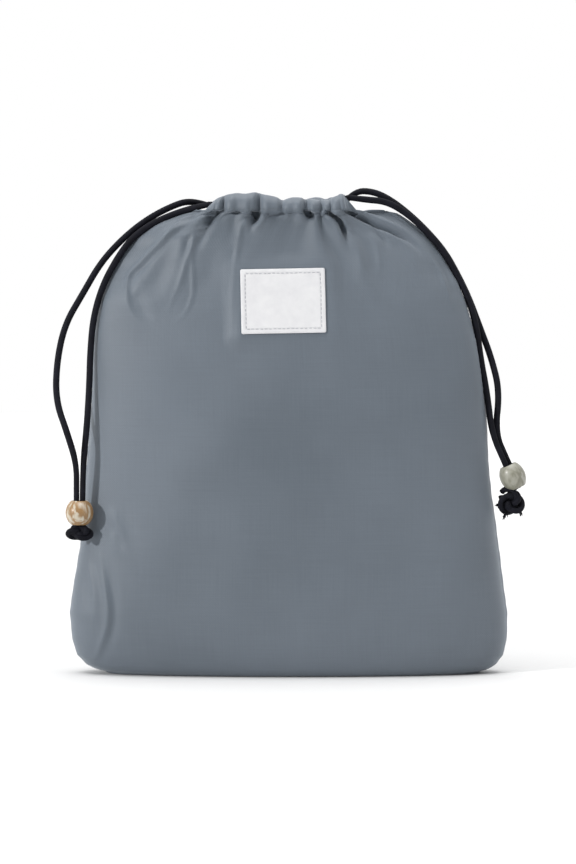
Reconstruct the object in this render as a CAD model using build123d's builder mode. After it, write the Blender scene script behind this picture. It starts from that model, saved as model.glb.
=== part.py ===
from build123d import *
import os
from math import acos, cos, degrees, hypot, pi, radians, sin, sqrt, tan

# Shoe bag: a double-drawstring pouch, filled out and standing on its base.
# Millimetres. +Z up, the front faces -Y, the origin is on the ground under the middle of the bag.

# ---------------------------------------------------------------- driving dimensions
WALL = 1.5            # cloth wall of the body panels
CORD_D = 3.8          # round drawcord
CORD_R = CORD_D / 2
PAIR = 1.95           # half the pitch of two strands lying side by side

# gathered mouth: cords run on a stadium-shaped ring
RING_LEFT = -46.0     # centre of the ring's left end
RING_RIGHT = 34.0     # centre of its right end
RING_R = 12.5         # radius of the ring's ends, half the distance between front and back cords
CASING_TURN = 25.0    # degrees of each ring end that the casings still cover
CASING_BOTTOM = 302.2
CASING_TOP = 314.8
CASING_MID = (CASING_BOTTOM + CASING_TOP) / 2
CASING_T = 6.8        # outside thickness of a casing
CHANNEL_H = 8.6       # channel inside the casing
CHANNEL_T = 4.6
LEFT_LOOP_Z = 306.3   # the left cord lies in the lower half of the channel
RIGHT_LOOP_Z = 310.7  # the right cord in the upper half

# outside profile of the filled body: height, left edge, right edge, half depth
PROFILE = [
    (0.0, -112.0, 118.0, 25.0),
    (2.0, -122.5, 128.5, 28.5),
    (6.0, -131.5, 135.8, 31.5),
    (12.0, -137.3, 140.0, 34.0),
    (22.0, -141.2, 142.0, 36.5),
    (40.0, -142.6, 142.6, 38.5),
    (60.0, -140.0, 140.6, 39.2),
    (88.0, -135.5, 136.8, 39.2),
    (115.0, -132.3, 133.5, 38.3),
    (140.0, -130.2, 131.8, 37.0),
    (166.0, -128.2, 129.8, 35.2),
    (192.0, -126.2, 126.2, 33.0),
    (218.0, -123.6, 121.5, 30.4),
    (231.0, -121.6, 118.2, 28.9),
    (244.0, -118.8, 114.4, 27.2),
    (257.0, -114.0, 108.6, 25.2),
    (270.0, -107.0, 101.0, 22.8),
    (282.0, -98.0, 91.5, 20.6),
    (291.0, -87.5, 81.5, 18.6),
    (298.0, -76.5, 69.5, 16.8),
    (CASING_BOTTOM, -66.0, 56.0, 15.5),
]
FULLNESS = 0.85       # below 1, a section is fuller than an ellipse

# wooden beads: outside radius, half height, bore
LEFT_BEAD_R, LEFT_BEAD_H = 9.0, 7.7
RIGHT_BEAD_R, RIGHT_BEAD_H = 8.4, 7.9
BEAD_BORE_R = 4.15
BEAD_FLAT_R = 5.5
LEFT_BEAD = (-135.2, -21.5, 106.4)
RIGHT_BEAD = (147.0, -4.0, 129.0)
RIGHT_TILT = 24.0     # the right bead leans off the side of the bag
BEAD_GAP = 0.5        # between a bead and its knot

# label patch
LABEL_W, LABEL_H, LABEL_T = 54.6, 42.2, 1.0
LABEL_X, LABEL_Z = -3.1, 243.3
LABEL_ROLL = 1.3      # degrees, sewn on very slightly askew
STITCH_IN = 3.0       # running stitch, in from the label's edge

os.makedirs("parts", exist_ok=True)


# ---------------------------------------------------------------- geometry of the body
def profile_at(z):
    """Left edge, right edge and half depth of the outside at height z, between the rows of PROFILE."""
    if z <= PROFILE[0][0]:
        return PROFILE[0][1:]
    for lower, upper in zip(PROFILE, PROFILE[1:]):
        if z <= upper[0]:
            f = (z - lower[0]) / (upper[0] - lower[0])
            return tuple(a + (b - a) * f for a, b in zip(lower[1:], upper[1:]))
    return PROFILE[-1][1:]


def half_outline(left, right, depth, side):
    """Points from the left seam to the right seam, bulging to side (-1 front, +1 back)."""
    mid, half = (left + right) / 2, (right - left) / 2
    points = []
    for i in range(13):
        angle = pi * i / 12
        bulge = 0.0 if i in (0, 12) else sin(angle) ** FULLNESS
        points.append((mid - half * cos(angle), side * depth * bulge))
    return points


OUTER = [(z, *edges) for z, *edges in PROFILE]
INNER = []
for z in [WALL, 3.5, 7.5, 13.0, 22.0, 40.0, 60.0, 88.0, 115.0, 140.0, 166.0, 192.0, 218.0, 231.0, 244.0, 257.0, 270.0, 282.0, 291.0, 298.0, 304.0]:
    if z < 40:
        left, right, depth = profile_at(z - WALL)
    elif z < 200:
        left, right, depth = profile_at(z)
    else:
        left, right, depth = profile_at(z + WALL)
    INNER.append((z, left + WALL, right - WALL, depth - WALL))


def front_y(x, z):
    """The front surface's y at a point of the front."""
    left, right, depth = profile_at(z)
    mid, half = (left + right) / 2, (right - left) / 2
    c = (x - mid) / half
    return -depth * sqrt(max(0.0, 1 - c * c)) ** FULLNESS


# ---------------------------------------------------------------- body panels
with BuildPart() as front_panel:
    for z, left, right, depth in OUTER:
        points = half_outline(left, right, depth, -1)
        with BuildSketch(Plane.XY.offset(z)):
            with BuildLine():
                Spline(*points)
                Line(points[-1], points[0])
            make_face()
    loft(ruled=True)
    for z, left, right, depth in INNER:
        points = half_outline(left, right, depth, -1)
        with BuildSketch(Plane.XY.offset(z)):
            with BuildLine():
                Spline(*points)
                Line(points[-1], points[0])
            make_face()
    loft(ruled=True, mode=Mode.SUBTRACT)
front_panel.part.label = "front_panel"
export_step(front_panel.part, "parts/front_panel.step")

with BuildPart() as back_panel:
    add(front_panel.part)
    mirror(about=Plane.XZ, mode=Mode.REPLACE)
back_panel.part.label = "back_panel"
export_step(back_panel.part, "parts/back_panel.step")

# ---------------------------------------------------------------- casings
with BuildPart() as front_casing:
    with BuildLine(Plane.XY.offset(CASING_MID)) as front_run:
        CenterArc((RING_LEFT, 0), RING_R, 270 - CASING_TURN, CASING_TURN)
        Line((RING_LEFT, -RING_R), (RING_RIGHT, -RING_R))
        CenterArc((RING_RIGHT, 0), RING_R, 270, CASING_TURN)
    with BuildSketch(Plane(origin=front_run.wires()[0] @ 0, x_dir=(0, 0, 1), z_dir=front_run.wires()[0] % 0)):
        Rectangle(CASING_TOP - CASING_BOTTOM, CASING_T)
        Rectangle(CHANNEL_H, CHANNEL_T, mode=Mode.SUBTRACT)
    sweep(path=front_run.wires()[0])
front_casing.part.label = "front_casing"
export_step(front_casing.part, "parts/front_casing.step")

with BuildPart() as back_casing:
    add(front_casing.part)
    mirror(about=Plane.XZ, mode=Mode.REPLACE)
back_casing.part.label = "back_casing"
export_step(back_casing.part, "parts/back_casing.step")

# a row of short stitches along the lower edge of each casing
STITCH_L, STITCH_PITCH = 2.4, 3.4
with BuildPart() as casing_stitching:
    for side in (-1, 1):
        row = Plane(origin=((RING_LEFT + RING_RIGHT) / 2, side * (RING_R + CASING_T / 2 + 0.25), CASING_BOTTOM + 1.0), x_dir=(1, 0, 0), z_dir=(0, -1, 0))
        with BuildSketch(row):
            with GridLocations(STITCH_PITCH, 1, 23, 1):
                Rectangle(STITCH_L, 0.45)
        extrude(amount=0.15, both=True)
casing_stitching.part.label = "casing_stitching"
export_step(casing_stitching.part, "parts/casing_stitching.step")

# ---------------------------------------------------------------- seam allowances inside the bag
SEAM_W, SEAM_T, SEAM_CLEAR = 6.0, 1.4, 0.5
SEAM_Z = [24.0, 40.0, 60.0, 88.0, 115.0, 140.0, 166.0, 192.0, 218.0, 231.0, 244.0, 257.0, 268.0]

with BuildPart() as left_seam_allowance:
    with BuildSketch(Plane.XZ.offset(-SEAM_T / 2)):
        with BuildLine():
            outer = [(profile_at(z)[0] + 2 * WALL + SEAM_CLEAR, z) for z in SEAM_Z]
            inner = [(x + SEAM_W, z) for x, z in outer]
            Polyline(*outer, *reversed(inner), close=True)
        make_face()
    extrude(amount=SEAM_T)
left_seam_allowance.part.label = "left_seam_allowance"
export_step(left_seam_allowance.part, "parts/left_seam_allowance.step")

with BuildPart() as right_seam_allowance:
    with BuildSketch(Plane.XZ.offset(-SEAM_T / 2)):
        with BuildLine():
            outer = [(profile_at(z)[1] - 2 * WALL - SEAM_CLEAR, z) for z in SEAM_Z]
            inner = [(x - SEAM_W, z) for x, z in outer]
            Polyline(*outer, *reversed(inner), close=True)
        make_face()
    extrude(amount=SEAM_T)
right_seam_allowance.part.label = "right_seam_allowance"
export_step(right_seam_allowance.part, "parts/right_seam_allowance.step")

with BuildPart() as bottom_seam_allowance:
    with BuildSketch(Plane.XY.offset(WALL + 0.2)):
        with Locations((3.0, 0.0)):
            Rectangle(212.0, SEAM_T)
    extrude(amount=SEAM_W)
bottom_seam_allowance.part.label = "bottom_seam_allowance"
export_step(bottom_seam_allowance.part, "parts/bottom_seam_allowance.step")

# ---------------------------------------------------------------- label patch
slope = degrees(acos(1.0)) + degrees(-(front_y(LABEL_X, LABEL_Z - 15) - front_y(LABEL_X, LABEL_Z + 15)) / 30)
lean = radians(slope)
label_normal = Vector(0, -cos(lean), sin(lean))
label_origin = Vector(LABEL_X, front_y(LABEL_X, LABEL_Z), LABEL_Z) + label_normal * 0.9
label_plane = Plane(origin=label_origin, x_dir=(1, 0, 0), z_dir=label_normal).rotated((0, 0, LABEL_ROLL))

with BuildPart() as label_patch:
    with BuildSketch(label_plane):
        RectangleRounded(LABEL_W, LABEL_H, 1.0)
    extrude(amount=LABEL_T)
label_patch.part.label = "label_patch"
export_step(label_patch.part, "parts/label_patch.step")

with BuildPart() as label_stitching:
    with BuildSketch(label_plane.offset(LABEL_T + 0.05)):
        span_x, span_y = LABEL_W - 2 * STITCH_IN, LABEL_H - 2 * STITCH_IN
        with GridLocations(span_x / 17, span_y, 17, 2):
            Rectangle(1.9, 0.4)
        with GridLocations(span_x, span_y / 13, 2, 13):
            Rectangle(0.4, 1.9)
    extrude(amount=0.3)
label_stitching.part.label = "label_stitching"
export_step(label_stitching.part, "parts/label_stitching.step")

# ---------------------------------------------------------------- cords held in the casings
with BuildPart() as left_cord_loop:
    with BuildLine(Plane.XY.offset(LEFT_LOOP_Z)) as left_run:
        CenterArc((RING_LEFT, 0), RING_R, 270 - CASING_TURN, CASING_TURN)
        Line((RING_LEFT, -RING_R), (RING_RIGHT, -RING_R))
        CenterArc((RING_RIGHT, 0), RING_R, 270, 180)
        Line((RING_RIGHT, RING_R), (RING_LEFT, RING_R))
        CenterArc((RING_LEFT, 0), RING_R, 90, CASING_TURN)
    with BuildSketch(Plane(origin=left_run.wires()[0] @ 0, z_dir=left_run.wires()[0] % 0)):
        Circle(CORD_R)
    sweep(path=left_run.wires()[0])
left_cord_loop.part.label = "left_cord_loop"
export_step(left_cord_loop.part, "parts/left_cord_loop.step")

with BuildPart() as right_cord_loop:
    with BuildLine(Plane.XY.offset(RIGHT_LOOP_Z)) as right_run:
        CenterArc((RING_RIGHT, 0), RING_R, 270 + CASING_TURN, -CASING_TURN)
        Line((RING_RIGHT, -RING_R), (RING_LEFT, -RING_R))
        CenterArc((RING_LEFT, 0), RING_R, 270, -180)
        Line((RING_LEFT, RING_R), (RING_RIGHT, RING_R))
        CenterArc((RING_RIGHT, 0), RING_R, 90, -CASING_TURN)
    with BuildSketch(Plane(origin=right_run.wires()[0] @ 0, z_dir=right_run.wires()[0] % 0)):
        Circle(CORD_R)
    sweep(path=right_run.wires()[0])
right_cord_loop.part.label = "right_cord_loop"
export_step(right_cord_loop.part, "parts/right_cord_loop.step")

# ---------------------------------------------------------------- free strands
turn = radians(CASING_TURN)
exit_x_left = RING_LEFT - RING_R * sin(turn)
exit_x_right = RING_RIGHT + RING_R * sin(turn)
exit_y = RING_R * cos(turn)

bx, by, bz = LEFT_BEAD
LEFT_KNOT_Z = bz - LEFT_BEAD_H - BEAD_GAP
LEFT_FRONT = [
    (exit_x_left, -exit_y, LEFT_LOOP_Z),
    (exit_x_left - 13.0 * cos(turn), -exit_y + 13.0 * sin(turn), LEFT_LOOP_Z),
    (-77.0, -4.2, 302.0),
    (-90.5, -3.4, 294.3),
    (-102.8, -3.0, 284.3),
    (-113.2, -3.0, 270.8),
    (-120.5, -3.6, 253.0),
    (-125.2, -5.8, 232.5),
    (-128.4, -9.0, 210.5),
    (-130.2, -12.8, 188.0),
    (-131.3, -16.8, 165.0),
    (bx + PAIR, by + 0.4, 142.0),
    (bx + PAIR, by, 119.0),
    (bx + PAIR, by, LEFT_KNOT_Z),
]
LEFT_BACK = [
    (exit_x_left, exit_y, LEFT_LOOP_Z),
    (exit_x_left - 13.0 * cos(turn), exit_y - 13.0 * sin(turn), LEFT_LOOP_Z),
    (-79.0, 3.0, 306.0),
    (-95.5, 1.6, 297.5),
    (-109.5, 1.2, 284.5),
    (-121.5, 1.0, 267.5),
    (-134.5, -0.8, 249.0),
    (-146.0, -4.0, 228.5),
    (-152.8, -8.5, 204.0),
    (-152.4, -13.5, 179.0),
    (-145.0, -18.5, 157.0),
    (bx - PAIR, by + 0.4, 138.0),
    (bx - PAIR, by, 118.0),
    (bx - PAIR, by, LEFT_KNOT_Z),
]

tilt = radians(RIGHT_TILT)
axis = Vector(-sin(tilt), 0, cos(tilt))          # up along the right bead's bore
across = Vector(cos(tilt), 0, sin(tilt))
pair = (across * cos(radians(50)) + Vector(0, 1, 0) * sin(radians(50))) * PAIR
centre = Vector(*RIGHT_BEAD)
RIGHT_KNOT_S = -RIGHT_BEAD_H - BEAD_GAP


def on_right(s, side, out=0.0):
    return tuple(centre + axis * s + pair * side + Vector(0, out, 0))


RIGHT_FRONT = [
    (exit_x_right, -exit_y, RIGHT_LOOP_Z),
    (exit_x_right + 12.0 * cos(turn), -exit_y + 12.0 * sin(turn), RIGHT_LOOP_Z),
    (64.5, -3.4, 307.6),
    (78.3, -2.6, 300.0),
    (90.4, -2.4, 289.0),
    (101.3, -2.4, 275.4),
    (109.9, -2.4, 260.6),
    (117.2, -2.6, 244.6),
    (122.2, -3.2, 226.0),
    (125.9, -4.0, 206.0),
    (128.9, -5.0, 184.0),
    on_right(31.0, -1, -0.4),
    on_right(11.0, -1),
    on_right(RIGHT_KNOT_S, -1),
]
RIGHT_BACK = [
    (exit_x_right, exit_y, RIGHT_LOOP_Z),
    (exit_x_right + 8.0 * cos(turn), exit_y - 8.0 * sin(turn), RIGHT_LOOP_Z),
    (55.5, 5.0, 314.0),
    (67.2, 3.4, 310.4),
    (79.8, 2.6, 301.4),
    (91.7, 2.4, 290.2),
    (102.8, 2.3, 276.2),
    (111.4, 2.3, 261.4),
    (118.9, 2.2, 245.4),
    (125.9, 1.6, 226.5),
    (133.9, 0.0, 207.5),
    (139.0, -1.6, 185.0),
    on_right(31.0, 1, -0.4),
    on_right(11.0, 1),
    on_right(RIGHT_KNOT_S, 1),
]


def corner_radii(name, points):
    """Each corner's arc takes 0.45 of the shorter run beside it."""
    radii, runs = [], []
    for a, b, c in zip(points, points[1:], points[2:]):
        before, after = Vector(*b) - Vector(*a), Vector(*c) - Vector(*b)
        half = radians(before.get_angle(after)) / 2
        radii.append(0.45 * min(before.length, after.length) / tan(half))
        runs.append(before.length)
    runs.append((Vector(*points[-1]) - Vector(*points[-2])).length)
    print(f"{name}: runs {[round(r, 1) for r in runs]}, total {sum(runs):.1f} mm")
    print(f"{name}: radii {[round(r, 1) for r in radii]}")
    return radii


with BuildPart() as left_front_strand:
    with BuildLine() as route:
        FilletPolyline(*LEFT_FRONT, radius=corner_radii("left_front_strand", LEFT_FRONT))
    with BuildSketch(Plane(origin=route.wires()[0] @ 0, z_dir=route.wires()[0] % 0)):
        Circle(CORD_R)
    sweep(path=route.wires()[0])
left_front_strand.part.label = "left_front_strand"
export_step(left_front_strand.part, "parts/left_front_strand.step")
print(f"left_front_strand: length {route.wires()[0].length:.1f}, volume {left_front_strand.part.volume:.1f}, section x length {pi * CORD_R**2 * route.wires()[0].length:.1f}")

with BuildPart() as left_back_strand:
    with BuildLine() as route:
        FilletPolyline(*LEFT_BACK, radius=corner_radii("left_back_strand", LEFT_BACK))
    with BuildSketch(Plane(origin=route.wires()[0] @ 0, z_dir=route.wires()[0] % 0)):
        Circle(CORD_R)
    sweep(path=route.wires()[0])
left_back_strand.part.label = "left_back_strand"
export_step(left_back_strand.part, "parts/left_back_strand.step")
print(f"left_back_strand: length {route.wires()[0].length:.1f}, volume {left_back_strand.part.volume:.1f}, section x length {pi * CORD_R**2 * route.wires()[0].length:.1f}")

with BuildPart() as right_front_strand:
    with BuildLine() as route:
        FilletPolyline(*RIGHT_FRONT, radius=corner_radii("right_front_strand", RIGHT_FRONT))
    with BuildSketch(Plane(origin=route.wires()[0] @ 0, z_dir=route.wires()[0] % 0)):
        Circle(CORD_R)
    sweep(path=route.wires()[0])
right_front_strand.part.label = "right_front_strand"
export_step(right_front_strand.part, "parts/right_front_strand.step")
print(f"right_front_strand: length {route.wires()[0].length:.1f}, volume {right_front_strand.part.volume:.1f}, section x length {pi * CORD_R**2 * route.wires()[0].length:.1f}")

with BuildPart() as right_back_strand:
    with BuildLine() as route:
        FilletPolyline(*RIGHT_BACK, radius=corner_radii("right_back_strand", RIGHT_BACK))
    with BuildSketch(Plane(origin=route.wires()[0] @ 0, z_dir=route.wires()[0] % 0)):
        Circle(CORD_R)
    sweep(path=route.wires()[0])
right_back_strand.part.label = "right_back_strand"
export_step(right_back_strand.part, "parts/right_back_strand.step")
print(f"right_back_strand: length {route.wires()[0].length:.1f}, volume {right_back_strand.part.volume:.1f}, section x length {pi * CORD_R**2 * route.wires()[0].length:.1f}")

# ---------------------------------------------------------------- wooden beads
def bead_outline(radius, height):
    """The barrel's outside, from its lower flat to its upper one."""
    end = acos(BEAD_FLAT_R / radius)
    return [(radius * cos(end * k / 4), height * sin(end * k / 4) / sin(end)) for k in range(-4, 5)]


with BuildPart() as left_bead:
    with BuildSketch(Plane(origin=LEFT_BEAD, x_dir=(1, 0, 0), z_dir=(0, -1, 0))):
        with BuildLine():
            Line((BEAD_BORE_R, -LEFT_BEAD_H), (BEAD_FLAT_R, -LEFT_BEAD_H))
            Spline(*bead_outline(LEFT_BEAD_R, LEFT_BEAD_H))
            Line((BEAD_FLAT_R, LEFT_BEAD_H), (BEAD_BORE_R, LEFT_BEAD_H))
            Line((BEAD_BORE_R, LEFT_BEAD_H), (BEAD_BORE_R, -LEFT_BEAD_H))
        make_face()
    revolve(axis=Axis(LEFT_BEAD, (0, 0, 1)))
left_bead.part.label = "left_bead"
export_step(left_bead.part, "parts/left_bead.step")

with BuildPart() as right_bead:
    with BuildSketch(Plane(origin=RIGHT_BEAD, x_dir=tuple(across), z_dir=(0, -1, 0))):
        with BuildLine():
            Line((BEAD_BORE_R, -RIGHT_BEAD_H), (BEAD_FLAT_R, -RIGHT_BEAD_H))
            Spline(*bead_outline(RIGHT_BEAD_R, RIGHT_BEAD_H))
            Line((BEAD_FLAT_R, RIGHT_BEAD_H), (BEAD_BORE_R, RIGHT_BEAD_H))
            Line((BEAD_BORE_R, RIGHT_BEAD_H), (BEAD_BORE_R, -RIGHT_BEAD_H))
        make_face()
    revolve(axis=Axis(RIGHT_BEAD, tuple(axis)))
right_bead.part.label = "right_bead"
export_step(right_bead.part, "parts/right_bead.step")

# ---------------------------------------------------------------- knots
# outer shape of each overhand knot: a flat seat for the bead over rounded lobes
with BuildPart() as left_knot:
    with BuildSketch(Plane.XY.offset(LEFT_KNOT_Z)):
        with Locations((bx, by)):
            Circle(4.6)
    extrude(amount=-5.0)
    with Locations((bx - 3.8, by, LEFT_KNOT_Z - 5.4), (bx + 3.8, by, LEFT_KNOT_Z - 5.4)):
        Sphere(5.2)
    with Locations((bx, by, LEFT_KNOT_Z - 5.6)):
        Cylinder(4.9, 7.0)
left_knot.part.label = "left_knot"
export_step(left_knot.part, "parts/left_knot.step")

seat = centre + axis * RIGHT_KNOT_S
with BuildPart() as right_knot:
    with BuildSketch(Plane(origin=seat, x_dir=tuple(across), z_dir=tuple(axis))):
        Circle(4.7)
    extrude(amount=-7.0)
    with Locations(tuple(seat + Vector(1.2, 0, -7.6)), tuple(seat + Vector(-6.2, 0, -8.6)), tuple(seat + Vector(-3.0, 0, -13.0))):
        Sphere(5.6)
right_knot.part.label = "right_knot"
export_step(right_knot.part, "parts/right_knot.step")
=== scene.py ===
import bpy
import math
import time
import numpy as np
from mathutils import Matrix, Vector


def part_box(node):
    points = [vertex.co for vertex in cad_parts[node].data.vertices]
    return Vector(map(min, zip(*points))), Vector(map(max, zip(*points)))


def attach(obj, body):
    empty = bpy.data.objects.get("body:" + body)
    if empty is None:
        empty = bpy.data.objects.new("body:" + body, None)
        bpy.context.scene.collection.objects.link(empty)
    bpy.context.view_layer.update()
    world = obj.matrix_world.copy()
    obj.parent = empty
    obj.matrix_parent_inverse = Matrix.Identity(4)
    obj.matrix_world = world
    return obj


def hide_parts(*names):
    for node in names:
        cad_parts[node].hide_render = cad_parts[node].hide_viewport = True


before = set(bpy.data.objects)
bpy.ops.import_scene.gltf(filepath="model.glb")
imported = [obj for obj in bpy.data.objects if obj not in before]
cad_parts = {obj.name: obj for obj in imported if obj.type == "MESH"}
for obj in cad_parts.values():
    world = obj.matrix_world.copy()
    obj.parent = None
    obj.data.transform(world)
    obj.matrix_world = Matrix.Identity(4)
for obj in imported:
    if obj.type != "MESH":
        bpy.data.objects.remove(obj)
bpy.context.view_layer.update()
T0 = time.time()


def link(ob):
    bpy.context.scene.collection.objects.link(ob)
    return ob


# ================================================================== camera
cam = bpy.data.cameras.new("camera")
cam.lens, cam.sensor_width, cam.sensor_fit = 120, 36, "AUTO"
camera = link(bpy.data.objects.new("camera", cam))
AIM, DIST, ELEV = Vector((0, 0, 0.158)), 1.887, math.radians(2.0)
view = Vector((0, -math.cos(ELEV), math.sin(ELEV)))
camera.location = AIM + view * DIST
camera.rotation_euler = (-view).to_track_quat("-Z", "Y").to_euler()
bpy.context.scene.camera = camera

# ================================================================== cords
CORD_D = 0.0043
INNER_D = 0.0038          # where the cord is squeezed: in the casing and in the bead
PAIR = 0.00195
TURN = math.radians(25.0)
TILT = math.radians(24.0)
EXIT_L, EXIT_R, EXIT_Y = -0.051283, 0.039283, 0.011329
Z_L, Z_R = 0.3063, 0.3107
LEFT_BEAD = Vector((-0.1352, -0.0215, 0.1064))
RIGHT_BEAD = Vector((0.147, -0.004, 0.129))
AXIS_R = Vector((-math.sin(TILT), 0, math.cos(TILT)))
ACROSS = Vector((math.cos(TILT), 0, math.sin(TILT)))
PAIR_R = (ACROSS * math.cos(math.radians(50)) + Vector((0, 1, 0)) * math.sin(math.radians(50))) * PAIR


def on_right(s, side, out=0.0):
    return tuple(RIGHT_BEAD + AXIS_R * s + PAIR_R * side + Vector((0, out, 0)))


ROUTES = {
    "left_front_strand": [
        (EXIT_L, -EXIT_Y, Z_L), (-0.0624, -0.0058, 0.3042), (-0.0762, -0.0050, 0.2998), (-0.0900, -0.0048, 0.2934),
        (-0.1025, -0.0052, 0.2840), (-0.1122, -0.0062, 0.2702), (-0.1211, -0.0072, 0.2531), (-0.1269, -0.0080, 0.2328),
        (-0.1288, -0.0092, 0.2105), (-0.1293, -0.0118, 0.1880), (-0.1304, -0.0168, 0.1650), (-0.1324, -0.0212, 0.1419),
        (-0.13325, -0.0215, 0.1190), (-0.13325, -0.0215, 0.0982)],
    "left_back_strand": [
        (EXIT_L, EXIT_Y, Z_L), (-0.0634, 0.0058, 0.3103), (-0.0785, 0.0030, 0.3048), (-0.0943, 0.0016, 0.2958),
        (-0.1088, 0.0004, 0.2838), (-0.1227, -0.0010, 0.2684), (-0.1339, -0.0034, 0.2486), (-0.1456, -0.0066, 0.2284),
        (-0.1505, -0.0114, 0.2037), (-0.1506, -0.0190, 0.1791), (-0.1424, -0.0275, 0.1578), (-0.1369, -0.0228, 0.1381),
        (-0.13715, -0.0215, 0.1180), (-0.13715, -0.0215, 0.0982)],
    "right_front_strand": [
        (EXIT_R, -EXIT_Y, Z_R), (0.0502, -0.0063, 0.3097), (0.0648, -0.0034, 0.3085), (0.0785, -0.0026, 0.3002),
        (0.0905, -0.0026, 0.2891), (0.1020, -0.0026, 0.2759), (0.1105, -0.0026, 0.2609), (0.1181, -0.0028, 0.2449),
        (0.1233, -0.0032, 0.2262), (0.1258, -0.0040, 0.2060), (0.1299, -0.0050, 0.1842),
        on_right(0.031, -1, -0.0004), on_right(0.011, -1), on_right(-0.0084, -1)],
    "right_back_strand": [
        (EXIT_R, EXIT_Y, Z_R), (0.0443, 0.0079, 0.3160), (0.0561, 0.0050, 0.3154), (0.0670, 0.0034, 0.3101),
        (0.0792, 0.0026, 0.3007), (0.0910, 0.0024, 0.2895), (0.1026, 0.0023, 0.2761), (0.1110, 0.0023, 0.2612),
        (0.1187, 0.0022, 0.2453), (0.1257, 0.0016, 0.2264), (0.1329, 0.0000, 0.2073), (0.1385, -0.0016, 0.1850),
        on_right(0.031, 1, -0.0004), on_right(0.011, 1), on_right(-0.0084, 1)],
}


def spline_path(name, points, steps=40):
    """The points that the route's own NURBS line goes through."""
    cu = bpy.data.curves.new(name + "_route", "CURVE")
    cu.dimensions, cu.resolution_u = "3D", steps
    sp = cu.splines.new("NURBS")
    sp.points.add(len(points) - 1)
    for p, q in zip(sp.points, points):
        p.co = (*q, 1.0)
    sp.order_u = 3
    sp.use_endpoint_u = True
    ob = link(bpy.data.objects.new(name + "_route", cu))
    bpy.context.view_layer.update()
    me = bpy.data.meshes.new_from_object(ob.evaluated_get(bpy.context.evaluated_depsgraph_get()))
    co = np.array([v.co for v in me.vertices], float)
    bpy.data.objects.remove(ob)
    bpy.data.meshes.remove(me)
    keep = np.concatenate([[True], np.linalg.norm(np.diff(co, axis=0), axis=1) > 1e-6])
    return co[keep]


def weave_height(a, b):
    """Height of a plain braid at yarn coordinates a, b, from 0 to 1."""
    fa, fb = a - np.floor(a), b - np.floor(b)
    wa = np.sqrt(np.clip(1 - (2 * fa - 1) ** 2, 0, 1)) * (0.62 + 0.38 * np.cos(np.pi * (b - 0.5) + np.pi * np.floor(a)))
    wb = np.sqrt(np.clip(1 - (2 * fb - 1) ** 2, 0, 1)) * (0.62 - 0.38 * np.cos(np.pi * (a - 0.5) + np.pi * np.floor(b)))
    return np.maximum(wa, wb)


def frames_along(path):
    """A tangent and two normals at each point, carried along without twist."""
    t = np.gradient(path, axis=0)
    t /= np.linalg.norm(t, axis=1)[:, None]
    n = np.zeros_like(t)
    first = np.cross(t[0], (0.0, 1.0, 0.3))
    n[0] = first / np.linalg.norm(first)
    for i in range(1, len(t)):
        v = n[i - 1] - t[i] * np.dot(n[i - 1], t[i])
        n[i] = v / np.linalg.norm(v)
    return t, n, np.cross(t, n)


def braided(name, path, radius=CORD_D / 2, around=40, relief=0.00013, taper=None):
    """A braided round cord along a path, as one closed mesh."""
    t, n, b = frames_along(path)
    s = np.concatenate([[0], np.cumsum(np.linalg.norm(np.diff(path, axis=0), axis=1))])
    th = np.arange(around) / around * 2 * math.pi
    S, TH = np.meshgrid(s, th, indexing="ij")
    a = 8 * TH / (2 * math.pi) + S / 0.0021
    c = 8 * TH / (2 * math.pi) - S / 0.0021
    r = radius - relief + relief * weave_height(a, c)
    if taper is not None:
        r = r * taper(s / s[-1])[:, None]
    co = path[:, None, :] + r[..., None] * (np.cos(TH)[..., None] * n[:, None, :] + np.sin(TH)[..., None] * b[:, None, :])
    m = len(path)
    verts = co.reshape(-1, 3)
    k = np.arange(around)
    kn = (k + 1) % around
    quads = []
    for i in range(m - 1):
        quads.append(np.stack([i * around + k, i * around + kn, (i + 1) * around + kn, (i + 1) * around + k], 1))
    faces = np.concatenate(quads).tolist()
    centre0, centre1 = len(verts), len(verts) + 1
    verts = np.concatenate([verts, path[:1] - t[:1] * radius * 0.25, path[-1:] + t[-1:] * radius * 0.25])
    last = (m - 1) * around
    faces += [(int(x), int(y), centre0) for x, y in zip(kn, k)]
    faces += [(int(last + x), int(last + y), centre1) for x, y in zip(k, kn)]
    return mesh_object(name, verts, faces)


def mesh_object(name, verts, faces, smooth=True):
    me = bpy.data.meshes.new(name)
    me.from_pydata(np.asarray(verts, float).tolist(), [], faces if isinstance(faces, list) else faces.tolist())
    me.update()
    if smooth:
        me.polygons.foreach_set("use_smooth", [True] * len(me.polygons))
    return link(bpy.data.objects.new(name, me))


def squeezed(f):
    """The cord is thinner where it leaves the casing and where it enters the bead."""
    a = np.clip((f - 0.01) / 0.05, 0, 1)
    b = np.clip((0.868 - f) / 0.06, 0, 1)
    return 1 - (1 - INNER_D / CORD_D) * (1 - a * a * (3 - 2 * a) * b * b * (3 - 2 * b))


paths, strands = {}, {}
for name, points in ROUTES.items():
    paths[name] = spline_path(name, points)
    strands[name] = braided(name + "_braid", paths[name], taper=squeezed)

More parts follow.
